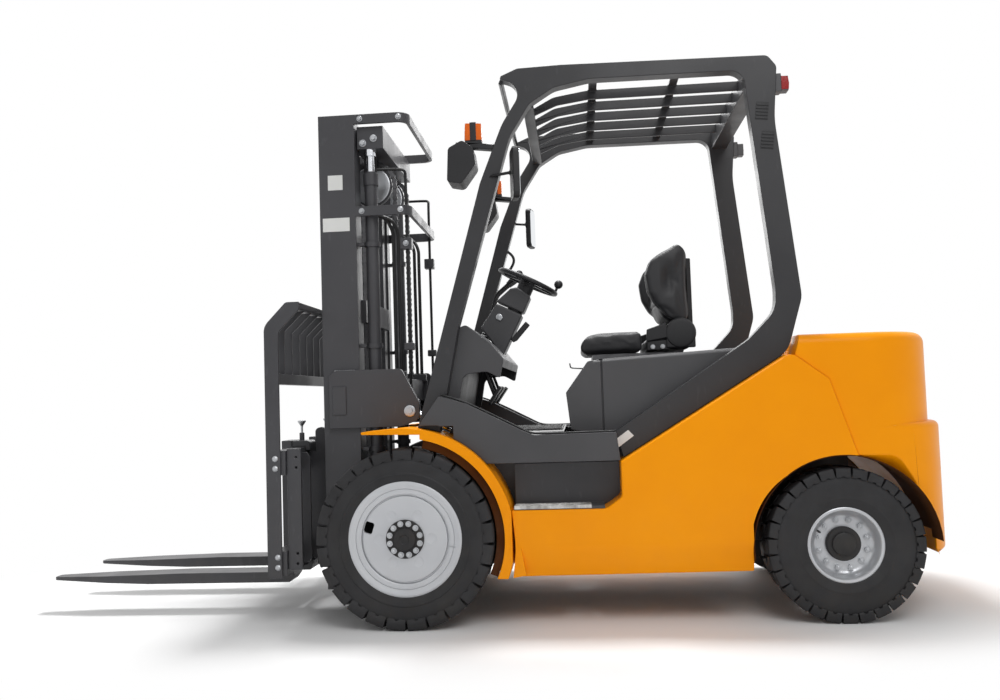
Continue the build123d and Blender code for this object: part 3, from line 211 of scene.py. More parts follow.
def new_finish(name, metal=0.0, coat=0.0, specular=0.5):
    """A fresh material with its node tree, shader and object coordinates."""
    mat = bpy.data.materials.new(name)
    mat.use_nodes = True
    tree = mat.node_tree
    shader = tree.nodes["Principled BSDF"]
    shader.inputs["Metallic"].default_value = metal
    shader.inputs["Coat Weight"].default_value = coat
    shader.inputs["Coat Roughness"].default_value = 0.12
    shader.inputs["Specular IOR Level"].default_value = specular
    where = tree.nodes.new("ShaderNodeTexCoord").outputs["Object"]
    return mat, tree, shader, where


def stretched(tree, where, scale):
    """Coordinates scaled by a different amount along each axis."""
    mapping = tree.nodes.new("ShaderNodeMapping")
    mapping.inputs["Scale"].default_value = scale
    link(tree, where, mapping.inputs["Vector"])
    return mapping.outputs["Vector"]


def cloud(tree, where, scale, detail=3.0):
    """Soft noise with a mean of one half."""
    node = tree.nodes.new("ShaderNodeTexNoise")
    node.inputs["Scale"].default_value = scale
    node.inputs["Detail"].default_value = detail
    link(tree, where, node.inputs["Vector"])
    return node.outputs["Fac"]


def cells(tree, where, scale, feature="F1"):
    """The distance to the nearest of many scattered points, which looks like grain or pebbles."""
    node = tree.nodes.new("ShaderNodeTexVoronoi")
    node.feature = feature
    node.inputs["Scale"].default_value = scale
    link(tree, where, node.inputs["Vector"])
    return node.outputs["Distance"]


def ranged(tree, value, start, end, low, high):
    """A value's span from start to end, moved to low and high."""
    node = tree.nodes.new("ShaderNodeMapRange")
    for socket, number in zip(("From Min", "From Max", "To Min", "To Max"), (start, end, low, high)):
        node.inputs[socket].default_value = number
    link(tree, value, node.inputs["Value"])
    return node.outputs["Result"]


def sums(tree, operation, first, second):
    """One sum on two values, each a socket or a number."""
    node = tree.nodes.new("ShaderNodeMath")
    node.operation = operation
    for socket, value in zip(node.inputs, (first, second)):
        if isinstance(value, (int, float)):
            socket.default_value = value
        else:
            link(tree, value, socket)
    return node.outputs[0]


def mixed(tree, share, first, second):
    """A colour between two, each a socket or four numbers."""
    node = tree.nodes.new("ShaderNodeMix")
    node.data_type = "RGBA"
    link(tree, share, node.inputs["Factor"])
    for socket, value in zip(("A", "B"), (first, second)):
        target = next(s for s in node.inputs if s.name == socket and s.type == "RGBA")
        if isinstance(value, list):
            target.default_value = value
        else:
            link(tree, value, target)
    return next(s for s in node.outputs if s.type == "RGBA")


def raised(tree, shader, height, distance, strength=1.0):
    """Bends the surface's light by a height, in metres at full height."""
    node = tree.nodes.new("ShaderNodeBump")
    node.inputs["Strength"].default_value = strength
    node.inputs["Distance"].default_value = distance
    link(tree, height, node.inputs["Height"])
    link(tree, node.outputs["Normal"], shader.inputs["Normal"])


DUST = screen(150, 138, 120)


def coating(name, tone, shade, rough, grain, depth, patch=2.5, metal=0.0, coat=0.0, dust=0.0, scuffs_and_sheen=0.0,
            pebbled=False, specular=0.3):
    """A finish with patches, wandering roughness, grain, dust near the floor, and faint pale streaks of wear and
    painted sheen.
    """
    mat, tree, shader, where = new_finish(name, metal, coat, specular)
    patches = cloud(tree, where, patch, 4)
    color = mixed(tree, ranged(tree, patches, 0.35, 0.65, 0, 1), tone, shade)
    if scuffs_and_sheen:
        # Pale streaks: partly scuffs of wear, partly a painted sheen.
        streaks = cloud(tree, stretched(tree, where, (9, 9, 2.5)), 6, 6)
        pale = [min(1, value * 2.2 + 0.02) for value in tone[:3]] + [1.0]
        color = mixed(tree, ranged(tree, streaks, 0.62, 0.72, 0, scuffs_and_sheen), color, pale)
    if dust:
        height = tree.nodes.new("ShaderNodeSeparateXYZ")
        link(tree, where, height.inputs[0])
        low = ranged(tree, height.outputs["Z"], 0.05, 0.75, dust, 0)
        speck = ranged(tree, cloud(tree, where, 14, 6), 0.4, 0.7, 0.15, 1)
        color = mixed(tree, sums(tree, "MULTIPLY", low, speck), color, DUST)
    link(tree, color, shader.inputs["Base Color"])
    wander = cloud(tree, where, patch * 3, 4)
    link(tree, ranged(tree, wander, 0.3, 0.7, rough[0], rough[1]), shader.inputs["Roughness"])
    height = cells(tree, where, grain) if pebbled else cloud(tree, where, grain, 2)
    raised(tree, shader, height, depth)
    return mat


# %% The truck's paints, metals, plastics and rubber
orange_paint = coating("orange_paint", screen(248, 155, 0), screen(243, 149, 0), (0.3, 0.4), 260, 0.0001, coat=0.06,
                       dust=0.02, specular=0.1)
dark_paint = coating("dark_paint", screen(68, 68, 71), screen(60, 60, 63), (0.34, 0.48), 420, 0.0001, coat=0.1,
                     dust=0.05, scuffs_and_sheen=0.12)
# Painted shade: the guard wears the dark paint made darker, which holds down the side lamp's light on its posts.
shaded_guard_paint = coating("shaded_guard_paint", screen(54, 54, 56), screen(47, 47, 49), (0.34, 0.48), 420, 0.0001, coat=0.1,
                      dust=0.04, scuffs_and_sheen=0.1, specular=0.25)
# Painted shade: orange paint darkened to brown, for the shadowed inside of the wheel arches and fenders.
arch_shade_brown = coating("arch_shade_brown", screen(92, 52, 20), screen(70, 36, 14), (0.7, 0.85), 160, 0.0003, dust=0.1,
                     specular=0.05)
charcoal_plastic = coating("charcoal_plastic", screen(74, 74, 76), screen(68, 68, 70), (0.40, 0.52), 900, 0.0001,
                           dust=0.04, pebbled=True)
black_plastic = coating("black_plastic", screen(36, 36, 38), screen(30, 30, 32), (0.36, 0.5), 1100, 0.0001,
                        pebbled=True)
rubber = coating("tyre_rubber", screen(44, 44, 46), screen(36, 36, 38), (0.55, 0.72), 320, 0.0002, patch=7, dust=0.04)
silver_paint = coating("silver_paint", screen(196, 198, 201), screen(184, 186, 190), (0.3, 0.42), 500, 0.0001,
                       metal=0.45, coat=0.2, dust=0.05)
axle_paint = coating("axle_paint", screen(42, 42, 44), screen(34, 34, 36), (0.45, 0.6), 120, 0.0004, dust=0.08)
bare_steel = coating("bare_steel", screen(185, 187, 190), screen(160, 162, 165), (0.28, 0.42), 300, 0.0001, patch=9,
                     metal=0.9, scuffs_and_sheen=0.1)
dark_steel = coating("dark_steel", screen(104, 104, 106), screen(80, 80, 82), (0.3, 0.5), 240, 0.0002, patch=11,
                     metal=0.75, scuffs_and_sheen=0.3)
chrome = coating("chrome_rod", screen(225, 227, 230), screen(215, 217, 222), (0.07, 0.14), 700, 0.00002, metal=1.0)
cast_iron = coating("engine_iron", screen(80, 82, 84), screen(66, 67, 70), (0.5, 0.7), 90, 0.001, patch=6, metal=0.2,
                    dust=0.1)
hose_rubber = coating("hose_rubber", screen(30, 30, 31), screen(25, 25, 26), (0.45, 0.6), 500, 0.0001)
vinyl = coating("seat_vinyl", screen(44, 44, 46), screen(38, 38, 40), (0.42, 0.54), 1300, 0.00018, patch=5,
                pebbled=True)
tread_alloy = coating("tread_alloy", screen(206, 206, 204), screen(150, 149, 146), (0.4, 0.6), 220, 0.0003, patch=30,
                      metal=0.6, scuffs_and_sheen=0.3)
white_enamel = coating("white_enamel", screen(222, 223, 221), screen(212, 213, 210), (0.3, 0.4), 400, 0.00005)
mirror_glass = coating("mirror_glass", screen(232, 235, 238), screen(226, 229, 233), (0.02, 0.05), 40, 0.00002,
                       metal=1.0)


def lens(name, tone, see_through, rib):
    """Coloured or clear moulded plastic with fine upright ribs."""
    mat, tree, shader, where = new_finish(name, coat=0.12, specular=0.25)
    patches = cloud(tree, where, 25, 2)
    deeper = [value * 0.85 for value in tone[:3]] + [1.0]
    link(tree, mixed(tree, patches, tone, deeper), shader.inputs["Base Color"])
    shader.inputs["Transmission Weight"].default_value = see_through
    link(tree, ranged(tree, patches, 0.3, 0.7, 0.08, 0.2), shader.inputs["Roughness"])
    wave = tree.nodes.new("ShaderNodeTexWave")
    wave.bands_direction = "Y"
    wave.inputs["Scale"].default_value = rib
    link(tree, where, wave.inputs["Vector"])
    raised(tree, shader, wave.outputs["Fac"], 0.0006)
    return mat


clear_lens = lens("clear_lens", screen(235, 238, 240), 0.55, 40)
amber_lens = lens("amber_lens", screen(232, 104, 6), 0.0, 60)
red_lens = lens("red_lens", screen(150, 6, 5), 0.0, 60)

slot_finish = {
    "body_paint": orange_paint, "dark_paint": dark_paint, "black_plastic": black_plastic, "tyre_rubber": rubber,
    "rim_paint": silver_paint, "axle_paint": axle_paint, "bare_steel": bare_steel, "chrome_rod": chrome,
    "engine_iron": cast_iron, "seat_vinyl": vinyl, "lamp_lens": charcoal_plastic, "mirror_face": black_plastic,
}
for name, node in nodes.items():
    node.data.materials.clear()
    node.data.materials.append(slot_finish[slot_of_node[name]])
print("finishes", len(bpy.data.materials))

# %% [markdown]
# Places are read from the truck's drawing in millimetres from the front axle, and one function turns them into
# metres. New pieces start from a single vertex that is extruded from point to point, as by hand. A filled
# outline is extruded to a slab, and an open one is spun round an axis. Edges are rounded at the end, because
# nothing on a real machine is sharper than a fine curve that catches the light.

# %% Tools for modelling


def at(x, y, z):
    """A point of the drawing, in metres in the frame's own coordinates."""
    return Vector((FRONT_AXLE_X + x / 1000, y / 1000, z / 1000))


def only(*objects):
    """Leaves these objects selected, the first of them active, and nothing else."""
    if bpy.context.object and bpy.context.object.mode != "OBJECT":
        bpy.ops.object.mode_set(mode="OBJECT")
    bpy.ops.object.select_all(action="DESELECT")
    for item in objects:
        item.select_set(True)
    bpy.context.view_layer.objects.active = objects[0]


def drawn(points, closed=True):
    """Draws a line by extruding one vertex from point to point, and fills it when it is closed."""
    bpy.ops.object.select_all(action="DESELECT")
    bpy.ops.mesh.primitive_plane_add(size=0.001, location=points[0])
    line = bpy.context.object
    bpy.ops.object.transform_apply(location=True, rotation=True, scale=True)
    bpy.ops.object.mode_set(mode="EDIT")
    bpy.ops.mesh.select_mode(type="VERT")
    bpy.ops.mesh.select_all(action="SELECT")
    bpy.ops.mesh.merge(type="CENTER")
    for here, there in zip(points, points[1:]):
        bpy.ops.mesh.extrude_region_move(TRANSFORM_OT_translate={"value": there - here})
    bpy.ops.mesh.select_all(action="SELECT")
    if closed:
        bpy.ops.mesh.edge_face_add()
    return line


def slab(points, depth):
    """A filled outline, extruded along a vector."""
    piece = drawn(points)
    bpy.ops.mesh.select_mode(type="FACE")
    bpy.ops.mesh.select_all(action="SELECT")
    bpy.ops.mesh.extrude_region_move(TRANSFORM_OT_translate={"value": depth})
    bpy.ops.mesh.select_all(action="SELECT")
    bpy.ops.mesh.normals_make_consistent(inside=False)
    bpy.ops.object.mode_set(mode="OBJECT")
    return piece


def spun(profile, centre, axis, steps=64):
    """A (radius, along) line in millimetres, spun round an axis through a centre."""
    axis = Vector(axis)
    side = Vector((0, 0, 1)) if abs(axis.z) < 0.7 else Vector((1, 0, 0))
    side = (side - axis * side.dot(axis)).normalized()
    piece = drawn([centre + side * (r / 1000) + axis * (a / 1000) for r, a in profile], closed=False)
    bpy.ops.mesh.spin(steps=steps, angle=2 * math.pi, center=centre, axis=axis)
    bpy.ops.mesh.select_all(action="SELECT")
    bpy.ops.mesh.remove_doubles(threshold=0.00001)
    bpy.ops.mesh.normals_make_consistent(inside=False)
    bpy.ops.object.mode_set(mode="OBJECT")
    return piece


def rounded(piece, width, segments=2, sharper_than=30):
    """Rounds the edges that are sharper than an angle, by a width in millimetres."""
    only(piece)
    bevel = piece.modifiers.new("rounding", "BEVEL")
    bevel.width = width / 1000
    bevel.segments = segments
    bevel.limit_method = "ANGLE"
    bevel.angle_limit = math.radians(sharper_than)
    bevel.use_clamp_overlap = False
    bpy.ops.object.modifier_apply(modifier=bevel.name)
    return piece


def cut(piece, tool):
    """Takes a tool's shape out of a piece."""
    only(piece)
    hole = piece.modifiers.new("hole", "BOOLEAN")
    hole.operation = "DIFFERENCE"
    hole.solver = "EXACT"
    hole.object = tool
    bpy.ops.object.modifier_apply(modifier=hole.name)
    bpy.data.objects.remove(tool)
    return piece


def joined(*pieces):
    """Several pieces as one object."""
    only(*pieces)
    bpy.ops.object.join()
    return bpy.context.object


def twin(piece, place=None):
    """A copy with its own mesh, moved by a matrix."""
    other = piece.copy()
    other.data = piece.data.copy()
    if place is not None:
        other.data.transform(place)
    bpy.context.scene.collection.objects.link(other)
    return other


def repeated(pattern, places):
    """Copies of a pattern at each place, joined, in the pattern's stead."""
    copies = [twin(pattern, place) for place in places]
    bpy.data.objects.remove(pattern)
    return joined(*copies)


def mirrored(piece):
    """The same piece on the truck's other side."""
    other = twin(piece, Matrix.Scale(-1, 4, (0, 1, 0)))
    other.data.flip_normals()
    return other


def both_sides(*pieces):
    """Pieces and their twins on the truck's other side, as one."""
    return joined(*pieces, *[mirrored(piece) for piece in pieces])


def turned_about(centre, degrees, axis):
    """The matrix that turns a piece about an axis through a centre."""
    turn = Matrix.Rotation(math.radians(degrees), 4, axis)
    return Matrix.Translation(centre) @ turn @ Matrix.Translation(-centre)


def facing(place, axis):
    """The matrix that stands a pattern made at the origin along +Z on a place, along an axis."""
    return Matrix.Translation(place) @ Vector(axis).to_track_quat("Z", "Y").to_matrix().to_4x4()


def around(centre, axis, count, first=0.0):
    """The turns that copy a piece evenly round an axis."""
    turns = [Matrix.Rotation(first + 2 * math.pi * i / count, 4, Vector(axis)) for i in range(count)]
    return [Matrix.Translation(centre) @ turn @ Matrix.Translation(-centre) for turn in turns]


def settled(piece, name, body, slot_name, finish=None, angle=35, even=True):
    """Names a finished piece, smooths it, gives it its finish or its slot's, and sets it on its body."""
    only(piece)
    bpy.ops.object.transform_apply(location=True, rotation=True, scale=True)
    bpy.ops.object.shade_smooth_by_angle(angle=math.radians(angle))
    if even:
        weigh = piece.modifiers.new("even light", "WEIGHTED_NORMAL")
        weigh.keep_sharp = True
        bpy.ops.object.modifier_apply(modifier=weigh.name)
    piece.name = name
    piece.data.name = name
    piece.data.materials.clear()
    piece.data.materials.append(finish or slot_finish[slot_name])
    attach(piece, body)
    return piece


# %% [markdown]
# The pressed and welded panels are right in the CAD model, but their edges are knife sharp. Each is copied, its
# loose triangles are merged and its flat faces made whole, and its edges are rounded. The copy then stands for
# the CAD node, which keeps working out of sight for collisions.

# %% Rounded panels
EDGE_RADIUS = {
    "side_panels": 5, "counterweight": 5, "front_fenders": 2.5, "hood": 4, "floor_trims": 4, "cowl": 4,
    "overhead_guard": 3, "frame": 2.5, "outer_mast": 2.5, "inner_mast": 2.5, "carriage": 2.5, "backrest_plates": 2.5,
    "backrest_rails": 2.5, "fork_left": 3, "fork_right": 3, "drive_axle": 3, "steer_axle": 3,
    "knuckle_left": 2, "knuckle_right": 2, "lift_cylinders": 1.5, "tilt_barrel_left": 1.5, "tilt_barrel_right": 1.5,
    "tilt_rod_left": 1.2, "tilt_rod_right": 1.2, "engine_block": 8, "front_lamps": 4, "tail_lamps": 3, "mirrors": 5,
    "radiator_cover": 4, "rear_grille": 1.5, "steering_column": 2, "pedals": 1.5, "seat_base": 2, "steps": 1.5,
    "floor_plate": 1.5, "tilt_pins": 1.5, "tow_pin": 1.5, "hood_hinge_pins": 1,
}
# The overhead guard's finish is the dark paint darkened as painted shade.
NODE_FINISH = {"overhead_guard": shaded_guard_paint, "seat_base": dark_steel, "hood": charcoal_plastic,
               "floor_trims": charcoal_plastic, "cowl": charcoal_plastic, "steps": dark_paint}


def cad_copy(*names):
    """Copies of CAD nodes, merged to clean closed meshes with whole flat faces."""
    copies = []
    for name in names:
        other = nodes[name].copy()
        other.data = nodes[name].data.copy()
        other.parent = None
        for key in list(other.keys()):
            del other[key]
        bpy.context.scene.collection.objects.link(other)
        copies.append(other)
    piece = joined(*copies)
    bpy.ops.mesh.customdata_custom_splitnormals_clear()
    bpy.ops.object.mode_set(mode="EDIT")
    bpy.ops.mesh.select_all(action="SELECT")
    bpy.ops.mesh.remove_doubles(threshold=0.00001)
    bpy.ops.mesh.dissolve_limited(angle_limit=math.radians(1))
    bpy.ops.object.mode_set(mode="OBJECT")
    return piece


for name, radius in EDGE_RADIUS.items():
    slot_name = slot_of_node[name]
    piece = rounded(cad_copy(name), radius)
    settled(piece, name + "_soft", body_of_node[name], slot_name, NODE_FINISH.get(name))
    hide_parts(name)
print("rounded panels", len(EDGE_RADIUS))

# %% [markdown]
# An industrial tyre is a smooth carcass with deep blocks on both shoulders. The carcass is one profile spun round
# the axle. One block is drawn as it looks from the side, extruded across the tread in three steps that lean it
# forward, cut off at the shoulder and rounded. It is then copied round the wheel, and the other row is turned by
# half a step.

# %% Tyres
FRONT_HUB = at(0, 500, 355)
REAR_HUB = at(-1700, 485, 295)
OUT, UP = Vector((0, 1, 0)), Vector((0, 0, 1))
SHOULDER_CUTS = [(0.90, 0, (0, 0.62, 0.78)), (0.985, 12, (0, 0.95, 0.31)), (1.0, 33, (0, 0.92, -0.39))]


def carcass(hub, outer, half, bead):
    """The smooth body of a tyre with its bead, ribbed sidewalls and shoulders."""
    wall = outer - bead
    side = [
        (bead, 0.70), (bead + 1, 0.84), (bead + 8, 0.885), (bead + wall * 0.20, 0.925), (bead + wall * 0.22, 0.95),
        (bead + wall * 0.26, 0.955), (bead + wall * 0.29, 0.935), (bead + wall * 0.45, 0.955),
        (bead + wall * 0.60, 0.95), (outer - 40, 0.925), (outer - 30, 0.88), (outer - 23, 0.78), (outer - 20, 0.55),
    ]
    line = [(r, half * y) for r, y in side] + [(outer - 19, 0)] + [(r, -half * y) for r, y in reversed(side)]
    return spun(line + [line[0]], hub, OUT, 96)


def tread_block(hub, outer, half, lugs, reach):
    """One shoulder block at the top of the wheel, on its outer side."""
    pitch = 2 * math.pi * outer / lugs
    wide = pitch * 0.43
    low = outer - reach
    crown = [(x, math.sqrt(outer**2 - x**2)) for x in (-wide, -wide / 2, 0, wide / 2, wide)]
    foot = [(wide * 0.94, low), (9, low), (5, low + 7), (-5, low + 7), (-9, low), (-wide * 0.94, low)]
    outline = [hub + Vector((x, half, r)) / 1000 for x, r in crown + foot]
    piece = drawn(outline)
    bpy.ops.mesh.select_mode(type="FACE")
    bpy.ops.mesh.select_all(action="SELECT")
    for across, lean in ((0.24, 0.0), (0.34, 0.10), (0.34, 0.22)):
        step = Vector((pitch * lean, -half * across, 0)) / 1000
        bpy.ops.mesh.extrude_region_move(TRANSFORM_OT_translate={"value": step})
    bpy.ops.transform.resize(value=(0.72, 1, 1), center_override=hub + Vector((pitch * 0.32, 0, outer)) / 1000)
    bpy.ops.mesh.select_all(action="SELECT")
    bpy.ops.mesh.normals_make_consistent(inside=False)
    for share, below, away in SHOULDER_CUTS:
        bpy.ops.mesh.select_all(action="SELECT")
        corner = hub + Vector((0, half * share, outer - below)) / 1000
        bpy.ops.mesh.bisect(plane_co=corner, plane_no=away, use_fill=True, clear_outer=True)
    bpy.ops.object.mode_set(mode="OBJECT")
    return rounded(piece, 2.2, 2, 28)


def make_tyre(name, hub, outer, half, bead, lugs, reach):
    """A whole tyre on the left, and its twin on the right."""
    near = tread_block(hub, outer, half, lugs, reach)
    far = twin(near, turned_about(hub, 180, "Z"))
    near = repeated(near, around(hub, OUT, lugs))
    far = repeated(far, around(hub, OUT, lugs, math.pi / lugs))
    tyre = joined(carcass(hub, outer, half, bead), near, far)
    other = mirrored(tyre)
    for piece, side in ((tyre, "left"), (other, "right")):
        settled(piece, f"{name}_tyre_{side}_tread", f"{name}_wheel_{side}", "tyre_rubber")
        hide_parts(f"{name}_tyre_{side}")
    print(name, "tyre faces", len(tyre.data.polygons))


make_tyre("front", FRONT_HUB, 355, 113.5, 226, 25, 47)
make_tyre("rear", REAR_HUB, 295, 87, 143, 28, 40)

# %% [markdown]
# Both wheels are pressed steel with silver paint. The front one is split, so it shows a lock ring, a dark groove
# and a nearly flush disc with shallow dimples and a valve opening. The rear one has a deep dish. Each is one spun
# profile, and the dimples, the valve opening and the split of the ring are cut out of it. Hub, cap, washers and
# nuts are pieces of their own, because they are made of other metal.

# %% Wheels
FRONT_RIM_LINE = [
    (220, 74), (228, 78), (231.5, 86), (230, 93), (224, 97), (215, 97), (207, 93), (202, 92), (198.5, 91),
    (197.5, 88.5), (196, 88.5), (195, 91), (181, 91), (176, 88), (174, 78), (170, 78), (168, 86.5),
    (165, 88), (40, 88), (40, 74), (160, 74), (186, 60), (203, 40), (208, -60), (211, -88), (220, -97),
    (228, -94), (229, -84), (221, -76), (219, 0),
]
REAR_RIM_LINE = [
    (134, 50), (142, 56), (148, 64), (147.5, 71), (141, 75), (133, 73.5), (128, 68), (125, 58), (122, 42), (115, 31),
    (106, 27), (100, 25), (30, 25), (30, 12), (100, 12), (122, 2), (127, -20), (129, -60), (135, -72), (143, -75),
    (147, -70), (146, -62), (136, -54), (134, 0),
]


def hexagon(across, tall, edge, segments):
    """A hexagon head that stands on the origin along Z, its edges rounded by a share of its width."""
    bpy.ops.object.select_all(action="DESELECT")
    bpy.ops.mesh.primitive_cylinder_add(vertices=6, radius=across / 2000, depth=tall / 1000,
                                        location=(0, 0, tall / 2000))
    head = rounded(bpy.context.object, across * edge, segments, 40)
    bpy.ops.object.transform_apply(location=True, rotation=True, scale=True)
    return head


def stood(across, tall, shares, steps):
    """A round part at the origin along Z, its line given in shares of a head's width and height."""
    return spun([(across * r, tall * z) for r, z in shares], Vector(), UP, steps)


def wheel_nut(across, tall):
    """A hexagon nut on its washer, with the stud's end standing out of it."""
    nut = hexagon(across, tall, 0.06, 2)
    washer = stood(across, tall, [(0, 0), (0.62, 0), (0.62, 0.14), (0.5, 0.2), (0, 0.2)], 20)
    stud = stood(across, tall, [(0, 1), (0.26, 1), (0.26, 1.3), (0.18, 1.4), (0, 1.4)], 14)
    return joined(nut, washer, stud)


def make_wheel(name, hub, line, hub_line, nut_size, nut_ring, nut_out, cap_line):
    """A rim with hub, cap and nuts on the left, and their twins on the right."""
    parts = {"rim_paint": spun(line + [line[0]], hub, OUT, 112)}
    if name == "front":
        bpy.ops.object.select_all(action="DESELECT")
        bpy.ops.mesh.primitive_uv_sphere_add(segments=28, ring_count=14, radius=0.0225, location=(0, 0, 0))
        dimple = bpy.context.object
        middle = hub + Vector((0, 89.5, 105)) / 1000
        dimple.data.transform(Matrix.Translation(middle) @ Matrix.Diagonal((1, 0.20, 1, 1)))
        dimples = repeated(dimple, around(hub, OUT, 6, math.radians(30)))
        valve = slab([hub + Vector((x, 60, z)) / 1000 for x, z in ((-23, 134), (23, 134), (23, 172), (-23, 172))],
                     Vector((0, 0.04, 0)))
        valve = rounded(valve, 9, 4)
        valve.data.transform(turned_about(hub, 72, OUT))
        split = slab([hub + Vector((x, 86, z)) / 1000 for x, z in ((-1.5, 178), (1.5, 178), (1.5, 203), (-1.5, 203))],
                     Vector((0, 0.02, 0)))
        split.data.transform(turned_about(hub, -100, OUT))
        for tool in (dimples, valve, split):
            parts["rim_paint"] = cut(parts["rim_paint"], tool)
    parts["axle_paint"] = joined(spun(hub_line, hub, OUT, 64), spun(cap_line, hub, OUT, 40))
    nut = wheel_nut(nut_size, nut_size * 0.62)
    places = [turn @ facing(hub + Vector((0, nut_out, nut_ring)) / 1000, OUT) for turn in around(hub, OUT, 12, 0.26)]
    parts["bare_steel"] = repeated(nut, places)
    stem = spun([(0, 0), (4.5, 0), (4.5, 14), (3.5, 16), (3.5, 30), (0, 30)], Vector(), UP, 12)
    lean = facing(hub + Vector((0, 52 if name == "front" else 30, 128 if name == "front" else 104)) / 1000, OUT)
    stem.data.transform(turned_about(hub, 62, OUT) @ lean)
    parts["black_plastic"] = stem
    for slot_name, piece in parts.items():
        for one, side in ((piece, "left"), (mirrored(piece), "right")):
            settled(one, f"{name}_wheel_{side}_{slot_name}", f"{name}_wheel_{side}", slot_name)
            if slot_name == "rim_paint":
                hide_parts(f"{name}_rim_{side}")


make_wheel("front", FRONT_HUB, FRONT_RIM_LINE,
           [(0, 85), (76, 85), (76, 95), (73, 98), (52, 98), (50, 100), (0, 100)], 19, 62, 97,
           [(0, 99), (46, 99), (46, 104), (42, 109), (20, 110), (16, 107), (0, 107)])
make_wheel("rear", REAR_HUB, REAR_RIM_LINE,
           [(0, 24), (66, 24), (66, 38), (62, 42), (50, 43), (0, 43)], 23, 93, 24,
           [(0, 42), (46, 42), (44, 52), (36, 57), (0, 58)])
print("wheels done")

# %% [markdown]
# The seat is moulded foam under grained vinyl: a cushion with a rounded nose, and a back whose two wings hold the
# driver. Foam swells evenly under its cover, so both are simulated. A rough shape is remeshed to small squares,
# blown up a little as cloth, capped so that it stays in its place, and subdivided once. Seams and hollows come
# after that, as small moves of the points.

# %% Seat
SEAT_HALF = 228


def side_slab(points, y0, y1):
    """An outline of (x, z) points in millimetres, extruded across the truck from y0 to y1."""
    return slab([at(x, y0, z) for x, z in points], Vector((0, (y1 - y0) / 1000, 0)))


def plan_slab(points, z0, z1):
    """An outline of (x, y) points in millimetres, extruded upwards from z0 to z1."""
    return slab([at(x, y, z0) for x, y in points], Vector((0, 0, (z1 - z0) / 1000)))


def brick(x0, x1, y0, y1, z0, z1, edge):
    """A plate or block between two corners, with rounded edges."""
    return rounded(side_slab([(x0, z0), (x1, z0), (x1, z1), (x0, z1)], y0, y1), edge)


def stuffed(piece, cap, pressure=4.0):
    """Swells a rough shape like foam under its cover, never by more than a cap in millimetres."""
    only(piece)
    grid = piece.modifiers.new("grid", "REMESH")
    grid.mode = "VOXEL"
    grid.voxel_size = 0.006
    bpy.ops.object.modifier_apply(modifier=grid.name)
    before = [vertex.co.copy() for vertex in piece.data.vertices]
    cloth = piece.modifiers.new("stuffing", "CLOTH")
    cloth.settings.use_pressure = True
    cloth.settings.uniform_pressure_force = pressure
    cloth.settings.effector_weights.gravity = 0
    for step in range(1, 21):
        bpy.context.scene.frame_set(step)
    bpy.ops.object.modifier_apply(modifier=cloth.name)
    bpy.context.scene.frame_set(1)
    for vertex, rest in zip(piece.data.vertices, before):
        move = vertex.co - rest
        if move.length > cap / 1000:
            vertex.co = rest + move * (cap / 1000 / move.length)
    soften = piece.modifiers.new("soften", "SMOOTH")
    soften.iterations = 6
    bpy.ops.object.modifier_apply(modifier=soften.name)
    fine = piece.modifiers.new("fine", "SUBSURF")
    fine.levels = fine.render_levels = 1
    bpy.ops.object.modifier_apply(modifier=fine.name)
    return piece


def dent(distance, reach):
    """A smooth weight: 1 on a line or edge, and 0 from its reach on."""
    share = max(0.0, 1 - abs(distance) / reach)
    return share * share * (3 - 2 * share)


def as_drawn(point):
    """A point of the frame as (x, y, z) millimetres of the drawing."""
    return (point.x - FRONT_AXLE_X) * 1000, point.y * 1000, point.z * 1000


def held_in(piece, node, play):
    """Keeps every point of a soft piece in its node's own box, with a play in millimetres."""
    low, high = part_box(node)
    for vertex in piece.data.vertices:
        for axis in range(3):
            vertex.co[axis] = min(max(vertex.co[axis], low[axis] - play / 1000), high[axis] + play / 1000)


cushion = side_slab([(-712, 1092), (-716, 1124), (-738, 1146), (-800, 1157), (-900, 1162), (-984, 1164), (-992, 1150),
                     (-992, 1086), (-726, 1082)], -SEAT_HALF + 8, SEAT_HALF - 8)
cushion = stuffed(rounded(cushion, 14, 3), 10)
for vertex in cushion.data.vertices:
    x, y, z = as_drawn(vertex.co)
    if z > 1120:
        trough = 11 * dent(y, 150)
        seams = 4 * dent(abs(y) - 138, 7) + 3 * max(dent(x + 800, 7), dent(x + 895, 7)) * dent(y, 145) ** 0.3
        vertex.co.z -= (trough + seams) / 1000
held_in(cushion, "seat_cushion", -1)
settled(cushion, "seat_cushion_pad", "hood_body", "seat_vinyl", angle=60, even=False)
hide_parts("seat_cushion")

WING = [(-1146, 1548), (-1085, 1513), (-1033, 1474), (-1010, 1414), (-1021, 1336), (-1056, 1268), (-1104, 1214),
        (-1150, 1202), (-1184, 1202), (-1184, 1500), (-1181, 1520), (-1168, 1541)]
MIDDLE_PAD = [(-1150, 1536), (-1110, 1516), (-1080, 1470), (-1066, 1400), (-1064, 1300), (-1080, 1225), (-1110, 1200),
              (-1184, 1200), (-1184, 1520)]
wing = rounded(side_slab(WING, 152, SEAT_HALF - 6), 16, 3)
other_wing = mirrored(wing)
middle = side_slab(MIDDLE_PAD, -165, 165)
seat_back = stuffed(joined(wing, other_wing, middle), 8)
for vertex in seat_back.data.vertices:
    x, y, z = as_drawn(vertex.co)
    hollow = dent(x + 1112, 46) * dent(z - 1392, 88)
    if abs(y) > 190:
        vertex.co.y -= math.copysign(26 * hollow / 1000, y)
    if abs(y) < 140 and x > -1120:
        vertex.co.x -= 4 * max(dent(z - 1290, 7), dent(z - 1375, 7), dent(z - 1460, 7)) / 1000
    edge_seam = dent(abs(y) - 196, 5) * (1 if x > -1100 else 0)
    vertex.co.x -= 4 * edge_seam / 1000
held_in(seat_back, "seat_back", -1)
